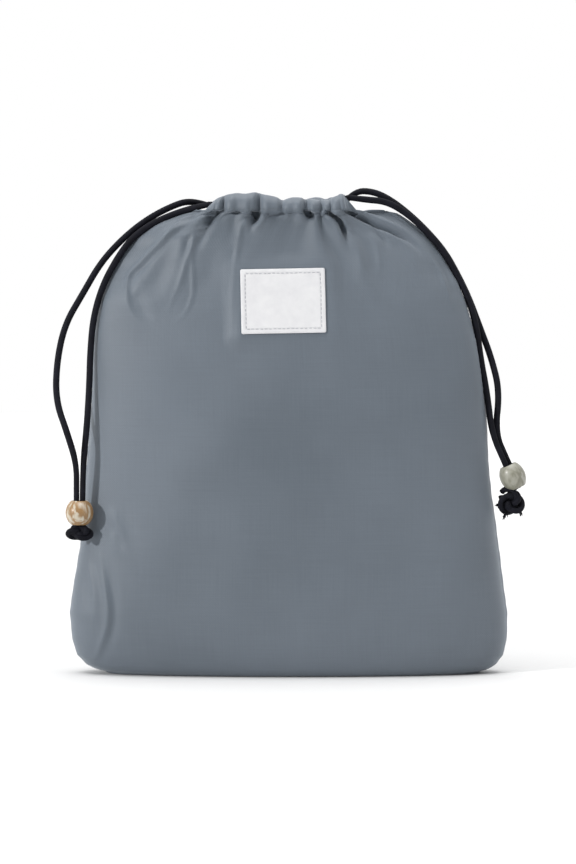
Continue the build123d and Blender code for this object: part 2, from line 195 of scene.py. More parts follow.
# the runs of cord inside the casings: side by side through the middle, apart at the ends
LOOPS = {
    "left_cord_loop": [(EXIT_L, -EXIT_Y, Z_L), (-0.0462, -0.0128, 0.3062), (-0.036, -0.0135, 0.3051), (-0.010, -0.0136, 0.3049), (0.012, -0.0136, 0.3049), (0.024, -0.0136, 0.3052),
                       (0.0310, -0.0125, 0.3056), (0.0358, -0.0070, 0.3056), (0.0366, 0.0000, 0.3056), (0.0358, 0.0070, 0.3056), (0.0310, 0.0125, 0.3056), (0.024, 0.0136, 0.3052),
                       (0.012, 0.0136, 0.3049), (-0.010, 0.0136, 0.3049), (-0.036, 0.0135, 0.3051), (-0.0462, 0.0128, 0.3062), (EXIT_L, EXIT_Y, Z_L)],
    "right_cord_loop": [(EXIT_R, -EXIT_Y, Z_R), (0.0340, -0.0122, 0.3090), (0.0250, -0.0110, 0.3062), (0.012, -0.0097, 0.3053), (-0.010, -0.0097, 0.3053), (-0.034, -0.0096, 0.3056),
                        (-0.0430, -0.0088, 0.3058), (-0.0474, -0.0050, 0.3058), (-0.0482, 0.0000, 0.3058), (-0.0474, 0.0050, 0.3058), (-0.0430, 0.0088, 0.3058), (-0.034, 0.0096, 0.3056),
                        (-0.010, 0.0097, 0.3053), (0.012, 0.0097, 0.3053), (0.0250, 0.0110, 0.3060), (0.0340, 0.0122, 0.3086), (EXIT_R, EXIT_Y, Z_R)],
}
loops = {name: braided(name + "_braid", spline_path(name, points, 16), INNER_D / 2, around=32) for name, points in LOOPS.items()}

# ================================================================== the bag's cloth
# outline of the filled bag: height, left seam, right seam, half depth (mm)
PROFILE = np.array([
    (0.0, -118.0, 125.0, 25.0), (2.0, -126.0, 131.8, 28.5), (6.0, -133.2, 137.2, 31.5), (12.0, -138.4, 141.0, 34.0),
    (22.0, -141.8, 143.0, 36.5), (40.0, -143.2, 143.4, 38.5), (60.0, -140.2, 141.0, 39.0), (88.0, -135.5, 136.8, 39.0),
    (115.0, -132.8, 133.5, 38.3), (140.0, -131.2, 131.8, 37.0), (166.0, -129.6, 130.2, 35.2), (192.0, -128.2, 127.8, 33.0),
    (218.0, -126.6, 123.4, 30.4), (231.0, -125.4, 120.2, 28.9), (244.0, -123.2, 116.6, 27.4), (257.0, -119.0, 111.2, 26.0),
    (270.0, -113.4, 103.8, 24.7), (277.0, -109.0, 99.0, 24.1), (283.5, -103.8, 94.2, 23.6), (290.0, -97.4, 87.0, 23.0),
    (295.4, -89.8, 80.2, 22.4), (298.0, -83.2, 76.6, 22.0), (300.0, -76.8, 73.6, 21.6), (301.5, -70.6, 71.0, 21.2), (302.5, -66.6, 68.0, 20.8)]) * 1e-3
FULLNESS = 0.85
NC = 116                 # cells from seam to seam on one panel
RING_Z = 0.3025          # the line where the body is sewn to the casing
X0, X1 = -0.0515, 0.0395
RING_Y = 0.0158


def profile(z):
    return [np.interp(z, PROFILE[:, 0], PROFILE[:, k]) for k in (1, 2, 3)]


def resample(points, n):
    s = np.concatenate([[0], np.cumsum(np.linalg.norm(np.diff(points[:, :3], axis=0), axis=1))])
    t = np.linspace(0, s[-1], n)
    return np.stack([np.interp(t, s, points[:, k]) for k in range(points.shape[1])], 1), s[-1]


def section(left, right, depth, n):
    """n points evenly spaced from the left seam to the right one, bulging towards the front."""
    a = np.linspace(0, np.pi, 400)
    mid, half = (left + right) / 2, (right - left) / 2
    return resample(np.stack([mid - half * np.cos(a), -depth * np.sin(a) ** FULLNESS, 0 * a], 1), n)


FRONT_FOLDS = [(-47.8, 2.4, 1.8), (-41.5, 6.2, 2.4), (-33.5, 0.9, 2.4), (-27.0, 0.5, 2.0), (-18.6, 6.4, 2.5), (-11.5, 0.3, 1.6), (-4.2, 3.2, 1.6), (3.0, 0.2, 1.4),
               (11.2, 6.2, 1.9), (20.6, 6.4, 2.1), (28.6, 6.2, 2.0), (34.2, 1.4, 1.4), (38.0, 3.4, 1.5)]
BACK_FOLDS = [(-47.0, 5.2, 2.2), (-40.0, 1.8, 1.7), (-32.5, 6.2, 2.3), (-25.5, 1.4, 1.6), (-19.0, 5.4, 2.0), (-10.0, 1.8, 1.7), (-3.5, 6.2, 2.3), (4.5, 1.6, 1.6),
              (10.5, 5.6, 2.0), (18.0, 2.0, 1.7), (25.0, 6.2, 2.2), (33.5, 5.2, 1.9)]


def ring(folds, n):
    """The pleated sewing line from seam to seam: x, y, z and how far each point is pleated out, for n columns."""
    x = np.linspace(X0, X1, 2400)
    out = np.full_like(x, 6.6e-3)
    for m, depth, width in folds:
        out -= depth * 1e-3 * np.exp(-np.abs((x * 1e3 - m) / width) ** 1.6)
    out = np.maximum(out, 0.2e-3) * np.clip((x - X0) / 3e-3, 0, 1) * np.clip((X1 - x) / 3e-3, 0, 1)
    mid = np.stack([x, -RING_Y - out, np.full_like(x, RING_Z), out], 1)
    left, right = np.array([-0.0655, 0.0, 0.3021, 0.0]), np.array([0.0655, 0.0, 0.3023, 0.0])
    e = np.linspace(0, 1, 60)[:, None]
    bow = np.sin(e[:, 0] * np.pi) * 0.0016
    start = left + (mid[0] - left) * e
    end = mid[-1] + (right - mid[-1]) * e
    start[:, 0] -= bow
    start[:, 1] -= bow
    end[:, 0] += bow
    end[:, 1] -= bow
    return resample(np.concatenate([start[:-1], mid, end[1:]]), n)


def make_rows():
    """Heights of the rows, close together where the cloth is gathered. A share below 1 is the flat bottom."""
    rows = [(0.0, f) for f in np.linspace(0, 1, 9)[:-1]]
    zz = np.linspace(0, RING_Z, 4000)
    climb = np.hypot(np.diff(zz), 0.5 * np.abs(np.diff(np.interp(zz, PROFILE[:, 0], PROFILE[:, 3]))) + 0.35 * np.abs(np.diff(np.interp(zz, PROFILE[:, 0], PROFILE[:, 1]))))
    zm = (zz[1:] + zz[:-1]) / 2
    step = np.where(zm < 0.03, 0.0028, np.interp(zm, [0.03, 0.06, 0.17, 0.225], [0.0032, 0.0042, 0.0042, 0.0026]))
    s = np.concatenate([[0], np.cumsum(climb / step)])
    n = int(s[-1])
    return rows + [(float(v), 1.0) for v in np.interp(np.linspace(0, s[-1], n + 1), s, zz)]


def smooth01(t):
    t = np.clip(t, 0, 1)
    return t * t * (3 - 2 * t)


def start_shape():
    rows, n = make_rows(), NC + 1
    tops = {}
    for side, folds in ((-1, FRONT_FOLDS), (1, BACK_FOLDS)):
        tops[side] = ring(folds, n)
    gathered = max(t[1] for t in tops.values()) * 1.03
    grids, flat_w = {-1: [], 1: []}, []
    k = np.arange(n)
    edge = np.minimum(1, np.minimum(k, k[::-1]) / 6.0)
    for i, (z, f) in enumerate(rows):
        l, r, d = profile(z)
        if f < 1:
            l, r, d = l + 0.004 * (1 - f), r - 0.004 * (1 - f), d * f + 1e-5
        p, length = section(l, r, d, n)
        w = length * 1.006
        q = smooth01((z - 0.19) / 0.06)
        w = max(w, (0.272 + (gathered - 0.272) * np.clip((z - 0.235) / (RING_Z - 0.235), 0, 1)) * q + w * (1 - q))
        flat_w.append(w)
        q = smooth01((z - 0.262) / (RING_Z - 0.262))
        fade = np.clip((z - 0.212) / (RING_Z - 0.212), 0, 1) ** 1.6
        for side in (-1, 1):
            top = tops[side][0]
            plain = top[:, :3].copy()
            plain[:, 1] += top[:, 3]
            pos = np.stack([p[:, 0], p[:, 1], np.full(n, z)], 1) * (1 - q) + plain * q
            pos[:, 1] -= (top[:, 3] - 0.004) * fade * edge
            if i == len(rows) - 1:
                pos = top[:, :3].copy()
            if side > 0:
                pos[:, 1] *= -1
            grids[side].append(pos)
    front, back = np.array(grids[-1]), np.array(grids[1])
    mid = np.array([(0, -profile(z)[2] * f, z) for z, f in rows])
    side_len = np.linalg.norm(np.diff(front[:, 0], axis=0), axis=1)
    mid_len = np.linalg.norm(np.diff(mid, axis=0), axis=1)
    flat_bottom = np.array([f for _, f in rows[:-1]]) < 1
    s = np.concatenate([[0], np.cumsum(np.where(flat_bottom, mid_len, np.maximum(mid_len, 0.6 * mid_len + 0.4 * side_len)))])
    return rows, front, back, np.array(flat_w), s, tops


rows, front, back, flat_w, flat_s, tops = start_shape()
M, N = front.shape[:2]
print("cloth rows", M, "columns", N, "flat height", round(flat_s[-1], 4), "flat widths", round(flat_w[0], 4), round(flat_w.max(), 4), round(flat_w[-1], 4),
      "area", round(float(np.sum((flat_w[1:] + flat_w[:-1]) / 2 * np.diff(flat_s))), 5))


def stuffing():
    """What fills the bag: a plain closed body a little inside the cloth."""
    inset, rings = 0.0022, []
    for z in np.concatenate([np.linspace(0.002, 0.03, 8), np.linspace(0.04, 0.232, 16)]):
        l, r, d = profile(z)
        p = section(l + inset, r - inset, d - inset, 64)[0][:, :2]
        loop = np.concatenate([p, (p * (1, -1))[1:-1][::-1]])
        rings.append(np.column_stack([loop, np.full(len(loop), z)]))
    for k in range(1, 13):
        a = k / 12 * math.pi / 2
        z, c = 0.232 + 0.046 * math.sin(a), max(math.cos(a), 0.02)
        ll, rr, dd = profile(z)
        half = (rr - ll) / 2 * (0.30 + 0.70 * c ** 0.6) - inset - 0.0004 * k
        p = section((ll + rr) / 2 - half, (ll + rr) / 2 + half, max(0.002, (dd - inset) * c ** 0.7), 64)[0][:, :2]
        loop = np.concatenate([p, (p * (1, -1))[1:-1][::-1]])
        rings.append(np.column_stack([loop, np.full(len(loop), z)]))
    m = len(rings[0])
    faces = [(j * m + i, j * m + (i + 1) % m, (j + 1) * m + (i + 1) % m, (j + 1) * m + i) for j in range(len(rings) - 1) for i in range(m)]
    faces += [tuple(range(m))[::-1], tuple((len(rings) - 1) * m + i for i in range(m))]
    return np.concatenate(rings), faces


def simulate(front, back, frames=14):
    """Lets the cloth settle over the stuffing, held along its sewing line and its base. Returns both grids."""
    u = np.linspace(-0.5, 0.5, N)
    flat = np.stack([u[None, :] * flat_w[:, None], np.zeros((M, N)), np.repeat(flat_s[:, None], N, 1)], 2)
    idx_f = np.arange(M * N).reshape(M, N)
    idx_b = idx_f.copy()
    idx_b[1:, 1:-1] = M * N + np.arange((M - 1) * (N - 2)).reshape(M - 1, N - 2)
    verts = np.concatenate([front.reshape(-1, 3), back[1:, 1:-1].reshape(-1, 3)])
    rest = np.concatenate([flat.reshape(-1, 3), flat[1:, 1:-1].reshape(-1, 3) + (0, 1e-6, 0)])
    qf = np.stack([idx_f[:-1, :-1], idx_f[:-1, 1:], idx_f[1:, 1:], idx_f[1:, :-1]], -1).reshape(-1, 4)
    qb = np.stack([idx_b[:-1, :-1], idx_b[1:, :-1], idx_b[1:, 1:], idx_b[:-1, 1:]], -1).reshape(-1, 4)
    ob = mesh_object("bag_cloth_work", verts, np.concatenate([qf, qb]).tolist())
    ob.shape_key_add(name="Basis")
    ob.shape_key_add(name="flat").data.foreach_set("co", rest.astype(np.float32).ravel())
    pins = set(idx_f[-1].tolist()) | set(idx_b[-1].tolist())
    for j in range(8):
        pins |= set(idx_f[j].tolist()) | set(idx_b[j].tolist())
    ob.vertex_groups.new(name="pin").add(sorted(pins), 1.0, "REPLACE")
    body = mesh_object("stuffing_work", *stuffing(), smooth=False)
    body.modifiers.new("Collision", "COLLISION")
    body.collision.thickness_outer, body.collision.thickness_inner, body.collision.cloth_friction = 0.0012, 0.02, 3
    mod = ob.modifiers.new("Cloth", "CLOTH")
    c = mod.settings
    c.rest_shape_key = ob.data.shape_keys.key_blocks["flat"]
    c.quality, c.mass, c.air_damping = 5, 0.1, 2.0
    c.tension_stiffness, c.compression_stiffness, c.shear_stiffness, c.bending_stiffness = 40, 30, 8, 0.25
    c.tension_damping, c.compression_damping, c.shear_damping, c.bending_damping = 10, 10, 8, 0.5
    c.use_pressure, c.uniform_pressure_force = True, 1.0
    c.vertex_group_mass = "pin"
    c.effector_weights.gravity = 0.1
    s = mod.collision_settings
    s.use_collision, s.distance_min, s.collision_quality = True, 0.0008, 2
    s.use_self_collision, s.self_distance_min, s.self_friction = True, 0.0011, 2
    mod.point_cache.frame_start, mod.point_cache.frame_end = 1, frames
    scene = bpy.context.scene
    scene.frame_start, scene.frame_end = 1, frames
    for f in range(1, frames + 1):
        scene.frame_set(f)
        bpy.context.view_layer.update()
    me = bpy.data.meshes.new_from_object(ob.evaluated_get(bpy.context.evaluated_depsgraph_get()))
    co = np.empty(len(me.vertices) * 3, np.float32)
    me.vertices.foreach_get("co", co)
    co = co.reshape(-1, 3).astype(float)
    bpy.data.meshes.remove(me)
    for o in (ob, body):
        bpy.data.objects.remove(o)
    scene.frame_set(1)
    return co[idx_f], co[idx_b]


front, back = simulate(front, back)
print("simulated", round(time.time() - T0, 1), "s")

# ================================================================== finishing the cloth
mm = 1e-3


def refine(g):
    """Twice the rows and columns, by cubic interpolation; the columns run right round the bag."""
    m = (-np.roll(g, 1, 1) + 9 * g + 9 * np.roll(g, -1, 1) - np.roll(g, -2, 1)) / 16
    w = np.empty((g.shape[0], g.shape[1] * 2, 3))
    w[:, 0::2], w[:, 1::2] = g, m
    p = np.concatenate([2 * w[:1] - w[1:2], w, 2 * w[-1:] - w[-2:-1]])
    res = np.empty((2 * len(w) - 1, w.shape[1], 3))
    res[0::2] = w
    res[1::2] = (-p[:-3] + 9 * p[1:-2] + 9 * p[2:-1] - p[3:]) / 16
    return res


def grid_normals(g):
    """Outward normals of the closed round of columns."""
    dx = np.roll(g, -1, 1) - np.roll(g, 1, 1)
    dz = np.gradient(g, axis=0)
    n = np.cross(dx, dz)
    return n / np.maximum(np.linalg.norm(n, axis=2), 1e-12)[..., None]


around = np.concatenate([front, back[:, -2:0:-1]], 1)      # front from left to right, then the back from right to left
height = around[9:-1, :, 2:3]
calm = 0.14 + 0.62 * smooth01((0.3005 - height) / 0.012)
for _ in range(9):
    inner = around[9:-1]
    smoothed = (np.roll(inner, 1, 1) + np.roll(inner, -1, 1) + around[8:-2] + around[10:]) / 4
    around[9:-1] = inner * (1 - calm) + smoothed * calm
cloth = refine(around)
# an even run-up to the sewing line, standing upright where the casing goes on from it
UP = 10
low, high = cloth[-1 - UP].copy(), cloth[-1].copy()
length = np.linalg.norm(high - low, axis=1)[:, None]
upright = smooth01((np.abs(high[:, 1:2]) - 0.010) / 0.005)
m_low = (cloth[-UP] - cloth[-2 - UP]) / 2 * UP
m_high = (high - low) * (1 - upright) + np.array([0, 0, 1.0]) * length * 0.8 * upright
for k in range(1, UP):
    t = k / UP
    even = (2 * t ** 3 - 3 * t ** 2 + 1) * low + (t ** 3 - 2 * t ** 2 + t) * m_low + (3 * t ** 2 - 2 * t ** 3) * high + (t ** 3 - t ** 2) * m_high
    share = float(smooth01(t / 0.35))
    cloth[-1 - UP + k] = even * share + cloth[-1 - UP + k] * (1 - share)
ROWS, COLS = cloth.shape[:2]
HALF = COLS // 2
row_s = np.interp(np.arange(ROWS) / 2, np.arange(M), flat_s)
row_w = np.interp(np.arange(ROWS) / 2, np.arange(M), flat_w)

# the outline: each height is drawn in or let out to the filled bag's own width
zb = np.linspace(0.0012, 0.3015, 150)
zc, xc = cloth[..., 2].ravel(), cloth[..., 0].ravel()
left_now, right_now = [], []
for z in zb:
    near = xc[np.abs(zc - z) < 0.0012]
    left_now.append(near.min())
    right_now.append(near.max())
kernel = np.ones(3) / 3
left_now = np.convolve(np.pad(left_now, 1, "edge"), kernel, "valid")
right_now = np.convolve(np.pad(right_now, 1, "edge"), kernel, "valid")
z = np.clip(cloth[..., 2], 0.0012, 0.3015)
want_l, want_r = profile(z)[:2]
now_l, now_r = np.interp(z, zb, left_now), np.interp(z, zb, right_now)
x = cloth[..., 0]
fade = (1 - smooth01((cloth[..., 2] - 0.3008) / 0.0016)) * smooth01(cloth[..., 2] / 0.0010)
ratio_l = np.clip((want_l + 0.002) / (now_l + 0.002), 0.88, 1.34)
ratio_r = np.clip((want_r - 0.002) / (now_r - 0.002), 0.88, 1.34)
clear = 0.046 * smooth01((cloth[..., 2] - 0.268) / 0.030)
side_l = smooth01((-x - clear) / (0.05 - clear * 0.55))
side_r = smooth01((x - clear * 0.80) / (0.05 - clear * 0.55))
cloth[..., 0] = x * (1 + fade * ((ratio_l - 1) * side_l + (ratio_r - 1) * side_r))

# folds and creases on the front, as lines of (x, z) in mm, with width, height and kind
STROKES = [
    ("groove", 2.1, 4.6, [(-41.5, 306.5), (-45.9, 302.4), (-50.0, 297.0), (-53.4, 290.5), (-56.6, 282.5), (-59.0, 275.0)]),
    ("groove", 2.0, 5.0, [(-18.0, 306.0), (-21.8, 302.6), (-20.6, 299.0), (-23.4, 292.5), (-24.4, 286.0)]),
    ("ridge", 2.6, 1.4, [(-28.4, 303.0), (-28.0, 297.0), (-25.6, 293.5), (-19.0, 292.5), (-15.5, 296.0), (-15.0, 301.0)]),
    ("groove", 1.8, 5.0, [(11.0, 306.0), (12.0, 302.0), (14.0, 299.4), (18.6, 297.0)]),
    ("groove", 1.35, 5.6, [(20.6, 306.0), (27.4, 300.6), (33.4, 294.6), (37.0, 286.6), (39.4, 276.2)]),
    ("ridge", 2.4, 1.0, [(24.0, 300.0), (29.6, 293.6), (33.0, 285.6), (35.4, 275.0)]),
    ("groove", 1.35, 5.0, [(28.8, 306.5), (40.6, 300.8), (53.4, 294.8), (69.8, 287.8), (79.3, 282.6), (88.4, 273.8)]),
    ("ridge", 2.8, 1.2, [(38.0, 304.0), (52.0, 298.8), (68.0, 292.6), (80.0, 286.0), (90.0, 276.0)]),
    ("groove", 1.5, 2.6, [(39.3, 306.5), (44.0, 304.0), (49.0, 301.6)]),
    ("groove", 1.9, 1.9, [(54.0, 292.0), (58.6, 288.4), (63.0, 283.0), (66.2, 277.0)]),
    ("ridge", 2.4, 0.9, [(41.0, 291.0), (45.0, 279.0), (47.5, 266.0), (47.0, 252.0)]),
    ("ridge", 2.2, 0.7, [(55.0, 286.0), (58.5, 276.0), (59.0, 264.0), (57.0, 254.0)]),
    ("groove", 2.8, 0.9, [(-33.0, 303.0), (-35.5, 294.0), (-37.5, 284.0), (-38.0, 276.0)]),
    ("fold", 1.4, 1.7, [(-54.4, 304.5), (-64.8, 298.6), (-75.0, 289.4), (-86.0, 278.4), (-96.0, 268.0), (-103.0, 260.5), (-104.4, 250.0), (-102.6, 240.0), (-97.4, 232.0), (-88.0, 226.2)]),
    ("ridge", 1.4, 1.0, [(-55.4, 299.4), (-59.0, 291.0), (-61.4, 282.0), (-66.0, 268.0), (-70.4, 254.0), (-75.0, 243.4), (-79.6, 230.0)]),
    ("ridge", 1.1, 0.75, [(-61.2, 284.3), (-62.2, 270.5), (-61.4, 256.8), (-62.0, 246.0), (-67.4, 234.5), (-77.5, 225.3)]),
    ("groove", 1.8, 1.0, [(-64.0, 288.0), (-65.5, 280.0), (-68.0, 272.0)]),
    ("ridge", 1.2, 1.0, [(-29.8, 303.0), (-31.0, 288.0), (-33.6, 268.6), (-35.6, 247.0), (-36.2, 224.7), (-40.0, 212.0)]),
    ("ridge", 1.5, 1.1, [(93.0, 272.0), (99.0, 262.0), (103.5, 250.0), (107.0, 236.0)]),
    ("fold", 2.0, 1.7, [(-123.2, 82.0), (-120.0, 66.0), (-117.0, 50.0), (-116.4, 38.0), (-118.4, 28.0), (-123.0, 16.5), (-127.5, 8.6), (-132.0, 8.0)]),
    ("ridge", 2.2, 1.0, [(-131.0, 76.0), (-126.5, 60.0), (-124.8, 45.0), (-126.6, 28.0)]),
    ("ridge", 2.6, 1.0, [(-115.0, 110.0), (-110.5, 99.0), (-106.0, 90.0), (-99.6, 69.0)]),
    ("ridge", 2.6, 0.7, [(-113.0, 96.0), (-111.0, 84.0), (-103.0, 78.0)]),
    ("groove", 3.5, 0.9, [(-100.0, 250.0), (-94.0, 238.0), (-86.0, 231.0)]),
]


def line_through(points, n=160):
    """A smooth line through the points."""
    p = np.array([points[0]] + list(points) + [points[-1]], float)
    out = []
    for i in range(1, len(p) - 2):
        t = np.linspace(0, 1, max(4, n // (len(p) - 3)), endpoint=False)[:, None]
        a, b, c, d = p[i - 1], p[i], p[i + 1], p[i + 2]
        out.append(0.5 * (2 * b + (c - a) * t + (2 * a - 5 * b + 4 * c - d) * t ** 2 + (3 * b - a - 3 * c + d) * t ** 3))
    return np.concatenate(out + [p[-1:]])


normals = grid_normals(cloth)
on_front = np.zeros((ROWS, COLS), bool)
on_front[:, 3:HALF - 2] = True
gx, gz = cloth[..., 0] / mm, cloth[..., 2] / mm
lift = np.zeros((ROWS, COLS))
for kind, width, height, points in STROKES:
    line = line_through(points)
    lo, hi = line.min(0) - 5 * width, line.max(0) + 5 * width
    pick = on_front & (gx > lo[0]) & (gx < hi[0]) & (gz > lo[1]) & (gz < hi[1])
    p = np.stack([gx[pick], gz[pick]], 1)
    d2 = ((p[:, None, :] - line[None]) ** 2).sum(2)
    k = d2.argmin(1)
    d = np.sqrt(d2[np.arange(len(k)), k])
    tang = np.gradient(line, axis=0)
    side = np.sign(tang[k, 0] * (p[:, 1] - line[k, 1]) - tang[k, 1] * (p[:, 0] - line[k, 0]))
    u = k / (len(line) - 1)
    start = 1.0 if kind == "groove" and points[0][1] > 299 else None
    env = smooth01((1 - u) / 0.55) * (1.0 if start else smooth01(u / 0.25))
    if kind == "groove":
        shape = -np.exp(-(d / width) ** 1.7) + 0.26 * np.exp(-((d - 2.3 * width) / (1.5 * width)) ** 2)
    elif kind == "ridge":
        shape = np.exp(-(d / width) ** 1.4) - 0.20 * np.exp(-((d - 2.6 * width) / (1.6 * width)) ** 2)
    else:
        shape = np.exp(-(d / width) ** 1.4) - 0.55 * np.exp(-((side * d - 2.0 * width) / (1.5 * width)) ** 2)
    bump_now = height * env * shape
    lift[pick] += np.where(bump_now < 0, bump_now * np.minimum(1, (RING_Z / mm - p[:, 1]) / 1.4).clip(0, 1) ** 0.5, bump_now)

# fine upright puckers under the middle of the mouth, and faint slack all over
uu = np.interp(np.arange(COLS) % COLS, [0, HALF, COLS], [0, 1, 0])[None, :] * row_w[:, None] / mm
puck = np.exp(-((gx + 3) / 15) ** 4) * smooth01((gz - 258) / 14) * smooth01((303 - gz) / 5)
lift += on_front * puck * 0.06 * (np.sin(uu * 2 * np.pi / 2.9 + 0.6 * np.sin(gz / 9.0)) + 0.6 * np.sin(uu * 2 * np.pi / 4.7 + 1.0))
slack = 0.30 * np.sin(gx / 19.0 + gz / 31.0 + 0.8 * np.sin(gz / 23.0)) + 0.22 * np.sin(gx / 11.0 - gz / 17.0 + 1.7) + 0.16 * np.sin(gx / 37.0 + gz / 9.0 + np.sin(gx / 21.0))
lift += slack * smooth01(gz / 25) * smooth01((275 - gz) / 40)
back_half = ~on_front
lift += back_half * 0.5 * np.sin(gx / 13.0 + gz / 29.0 + 1.1) * smooth01(gz / 30) * smooth01((270 - gz) / 40)
seam = np.minimum(np.minimum(np.arange(COLS), COLS - np.arange(COLS)), np.abs(np.arange(COLS) - HALF))[None, :]
lift += -0.55 * np.exp(-(seam / 0.8) ** 2) + 0.25 * np.exp(-((seam - 2.4) / 1.1) ** 2)
lift += 0.12 * np.exp(-(seam / 4.0) ** 2) * np.sin(gz / 1.9 + 0.7 * np.sin(gz / 7.0))
base = smooth01((gz - 0.5) / 6.0)
cloth += normals * (lift * base * mm)[..., None]

# clear of the cords that lie along the sides
cord_points = np.concatenate([p[::6] for p in paths.values()])
near_cords = np.abs(cloth[..., 1]) < 0.030
idx = np.argwhere(near_cords & (cloth[..., 2] > 0.09))
v = cloth[idx[:, 0], idx[:, 1]]
for chunk in range(0, len(v), 8000):
    w = v[chunk:chunk + 8000]
    d = np.linalg.norm(w[:, None, :] - cord_points[None], axis=2)
    k = d.argmin(1)
    dist = d[np.arange(len(k)), k]
    short = dist < 0.0026
    if short.any():
        away = (w[short] - cord_points[k[short]]) / np.maximum(dist[short], 1e-6)[:, None]
        inward = -np.sign(w[short, 0])[:, None] * np.array([[1.0, 0, 0]]) + np.array([[0, 0, -0.6]])
        flip = (away * inward).sum(1) < 0
        away[flip] = inward[flip] / np.linalg.norm(inward[flip], axis=1)[:, None]
        w[short] = cord_points[k[short]] + away * 0.0026
        v[chunk:chunk + 8000] = w
cloth[idx[:, 0], idx[:, 1]] = v

# flat under the label
patch = np.array([q.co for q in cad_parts["label_patch"].data.vertices], float)
L_MID = (patch.max(0) + patch.min(0)) / 2
L_N = np.linalg.svd(patch - patch.mean(0), full_matrices=False)[2][2]
L_N = L_N if L_N[1] < 0 else -L_N
ROLL = math.radians(1.3)
L_X = np.array([1.0, 0, 0]) - L_N * L_N[0]
L_X /= np.linalg.norm(L_X)
L_Z = np.cross(L_X, L_N) * -1
L_Z = L_Z if L_Z[2] > 0 else -L_Z
L_X, L_Z = L_X * math.cos(ROLL) + L_Z * math.sin(ROLL), L_Z * math.cos(ROLL) - L_X * math.sin(ROLL)
LW, LH, LT = 0.0546, 0.0422, 0.0010
L_BACK = L_MID - L_N * LT / 2
rel = cloth - L_BACK
pa, pb, ph = rel @ L_X, rel @ L_Z, rel @ L_N
outside = np.hypot(np.maximum(np.abs(pa) - LW / 2, 0), np.maximum(np.abs(pb) - LH / 2, 0))
under = smooth01(1 - outside / 0.013) * on_front
cloth -= L_N[None, None] * ((ph + 0.00022) * under)[..., None]
cloth[..., 2] = np.maximum(cloth[..., 2], 0.0004)
cloth[..., 1] = np.clip(cloth[..., 1], -0.0392, 0.0392)
normals = grid_normals(cloth)


def store(ob, name, values):
    a = ob.data.attributes.new(name, "FLOAT_VECTOR", "POINT")
    a.data.foreach_set("vector", np.asarray(values, np.float32).ravel())


def grid_faces(m, n, offset=0):
    i = np.arange(m * n).reshape(m, n) + offset
    return np.stack([i[:-1, :-1], i[:-1, 1:], i[1:, 1:], i[1:, :-1]], -1).reshape(-1, 4)


def thicken(ob, t):
    mod = ob.modifiers.new("thickness", "SOLIDIFY")
    mod.thickness, mod.offset, mod.use_rim = t, -1.0, True
    return ob


RIM = {-1: [(-52, 307.0), (-49.5, 308.8), (-46.5, 310.4), (-43.5, 311.4), (-38, 312.9), (-33, 313.7), (-27.5, 312.9), (-21.6, 314.3), (-15, 312.5), (-9, 311.5), (-6, 310.4), (-4, 308.3), (-2, 309.2), (0.4, 310.4),
            (4.6, 311.0), (9, 310.5), (11.4, 309.2), (14, 310.2), (18, 308.8), (22, 309.4), (26, 308.8), (29.5, 310.4), (32.5, 312.4), (35.6, 313.4), (38, 312.6), (40, 310.6)],
       1: [(-52, 309.6), (-47, 310.8), (-42, 312.9), (-36, 312.6), (-32.5, 310.4), (-28, 312.0), (-23, 312.6), (-19, 310.6), (-13, 312.2), (-8, 312.4), (-3.5, 309.8), (2, 311.6), (7, 312.2), (10.5, 310.2),
           (15, 311.8), (20, 312.4), (25, 310.6), (29, 312.4), (33.5, 312.2), (37, 313.6), (40, 313.8)]}
CASING = [(15.8, 1.0, 0.0), (15.8, 1.0, 0.12), (15.75, 0.98, 0.28), (15.55, 0.93, 0.47), (15.1, 0.84, 0.66), (14.3, 0.70, 0.83), (13.1, 0.54, 0.96), (11.5, 0.38, 1.0), (9.8, 0.18, 0.88), (8.4, 0.02, 0.6),
          (7.5, -0.06, 0.30), (7.9, -0.05, 0.06), (10.0, 0.10, -0.08), (15.3, 0.95, -0.05)]
outline = line_through(CASING, 40 * 3)[::3]

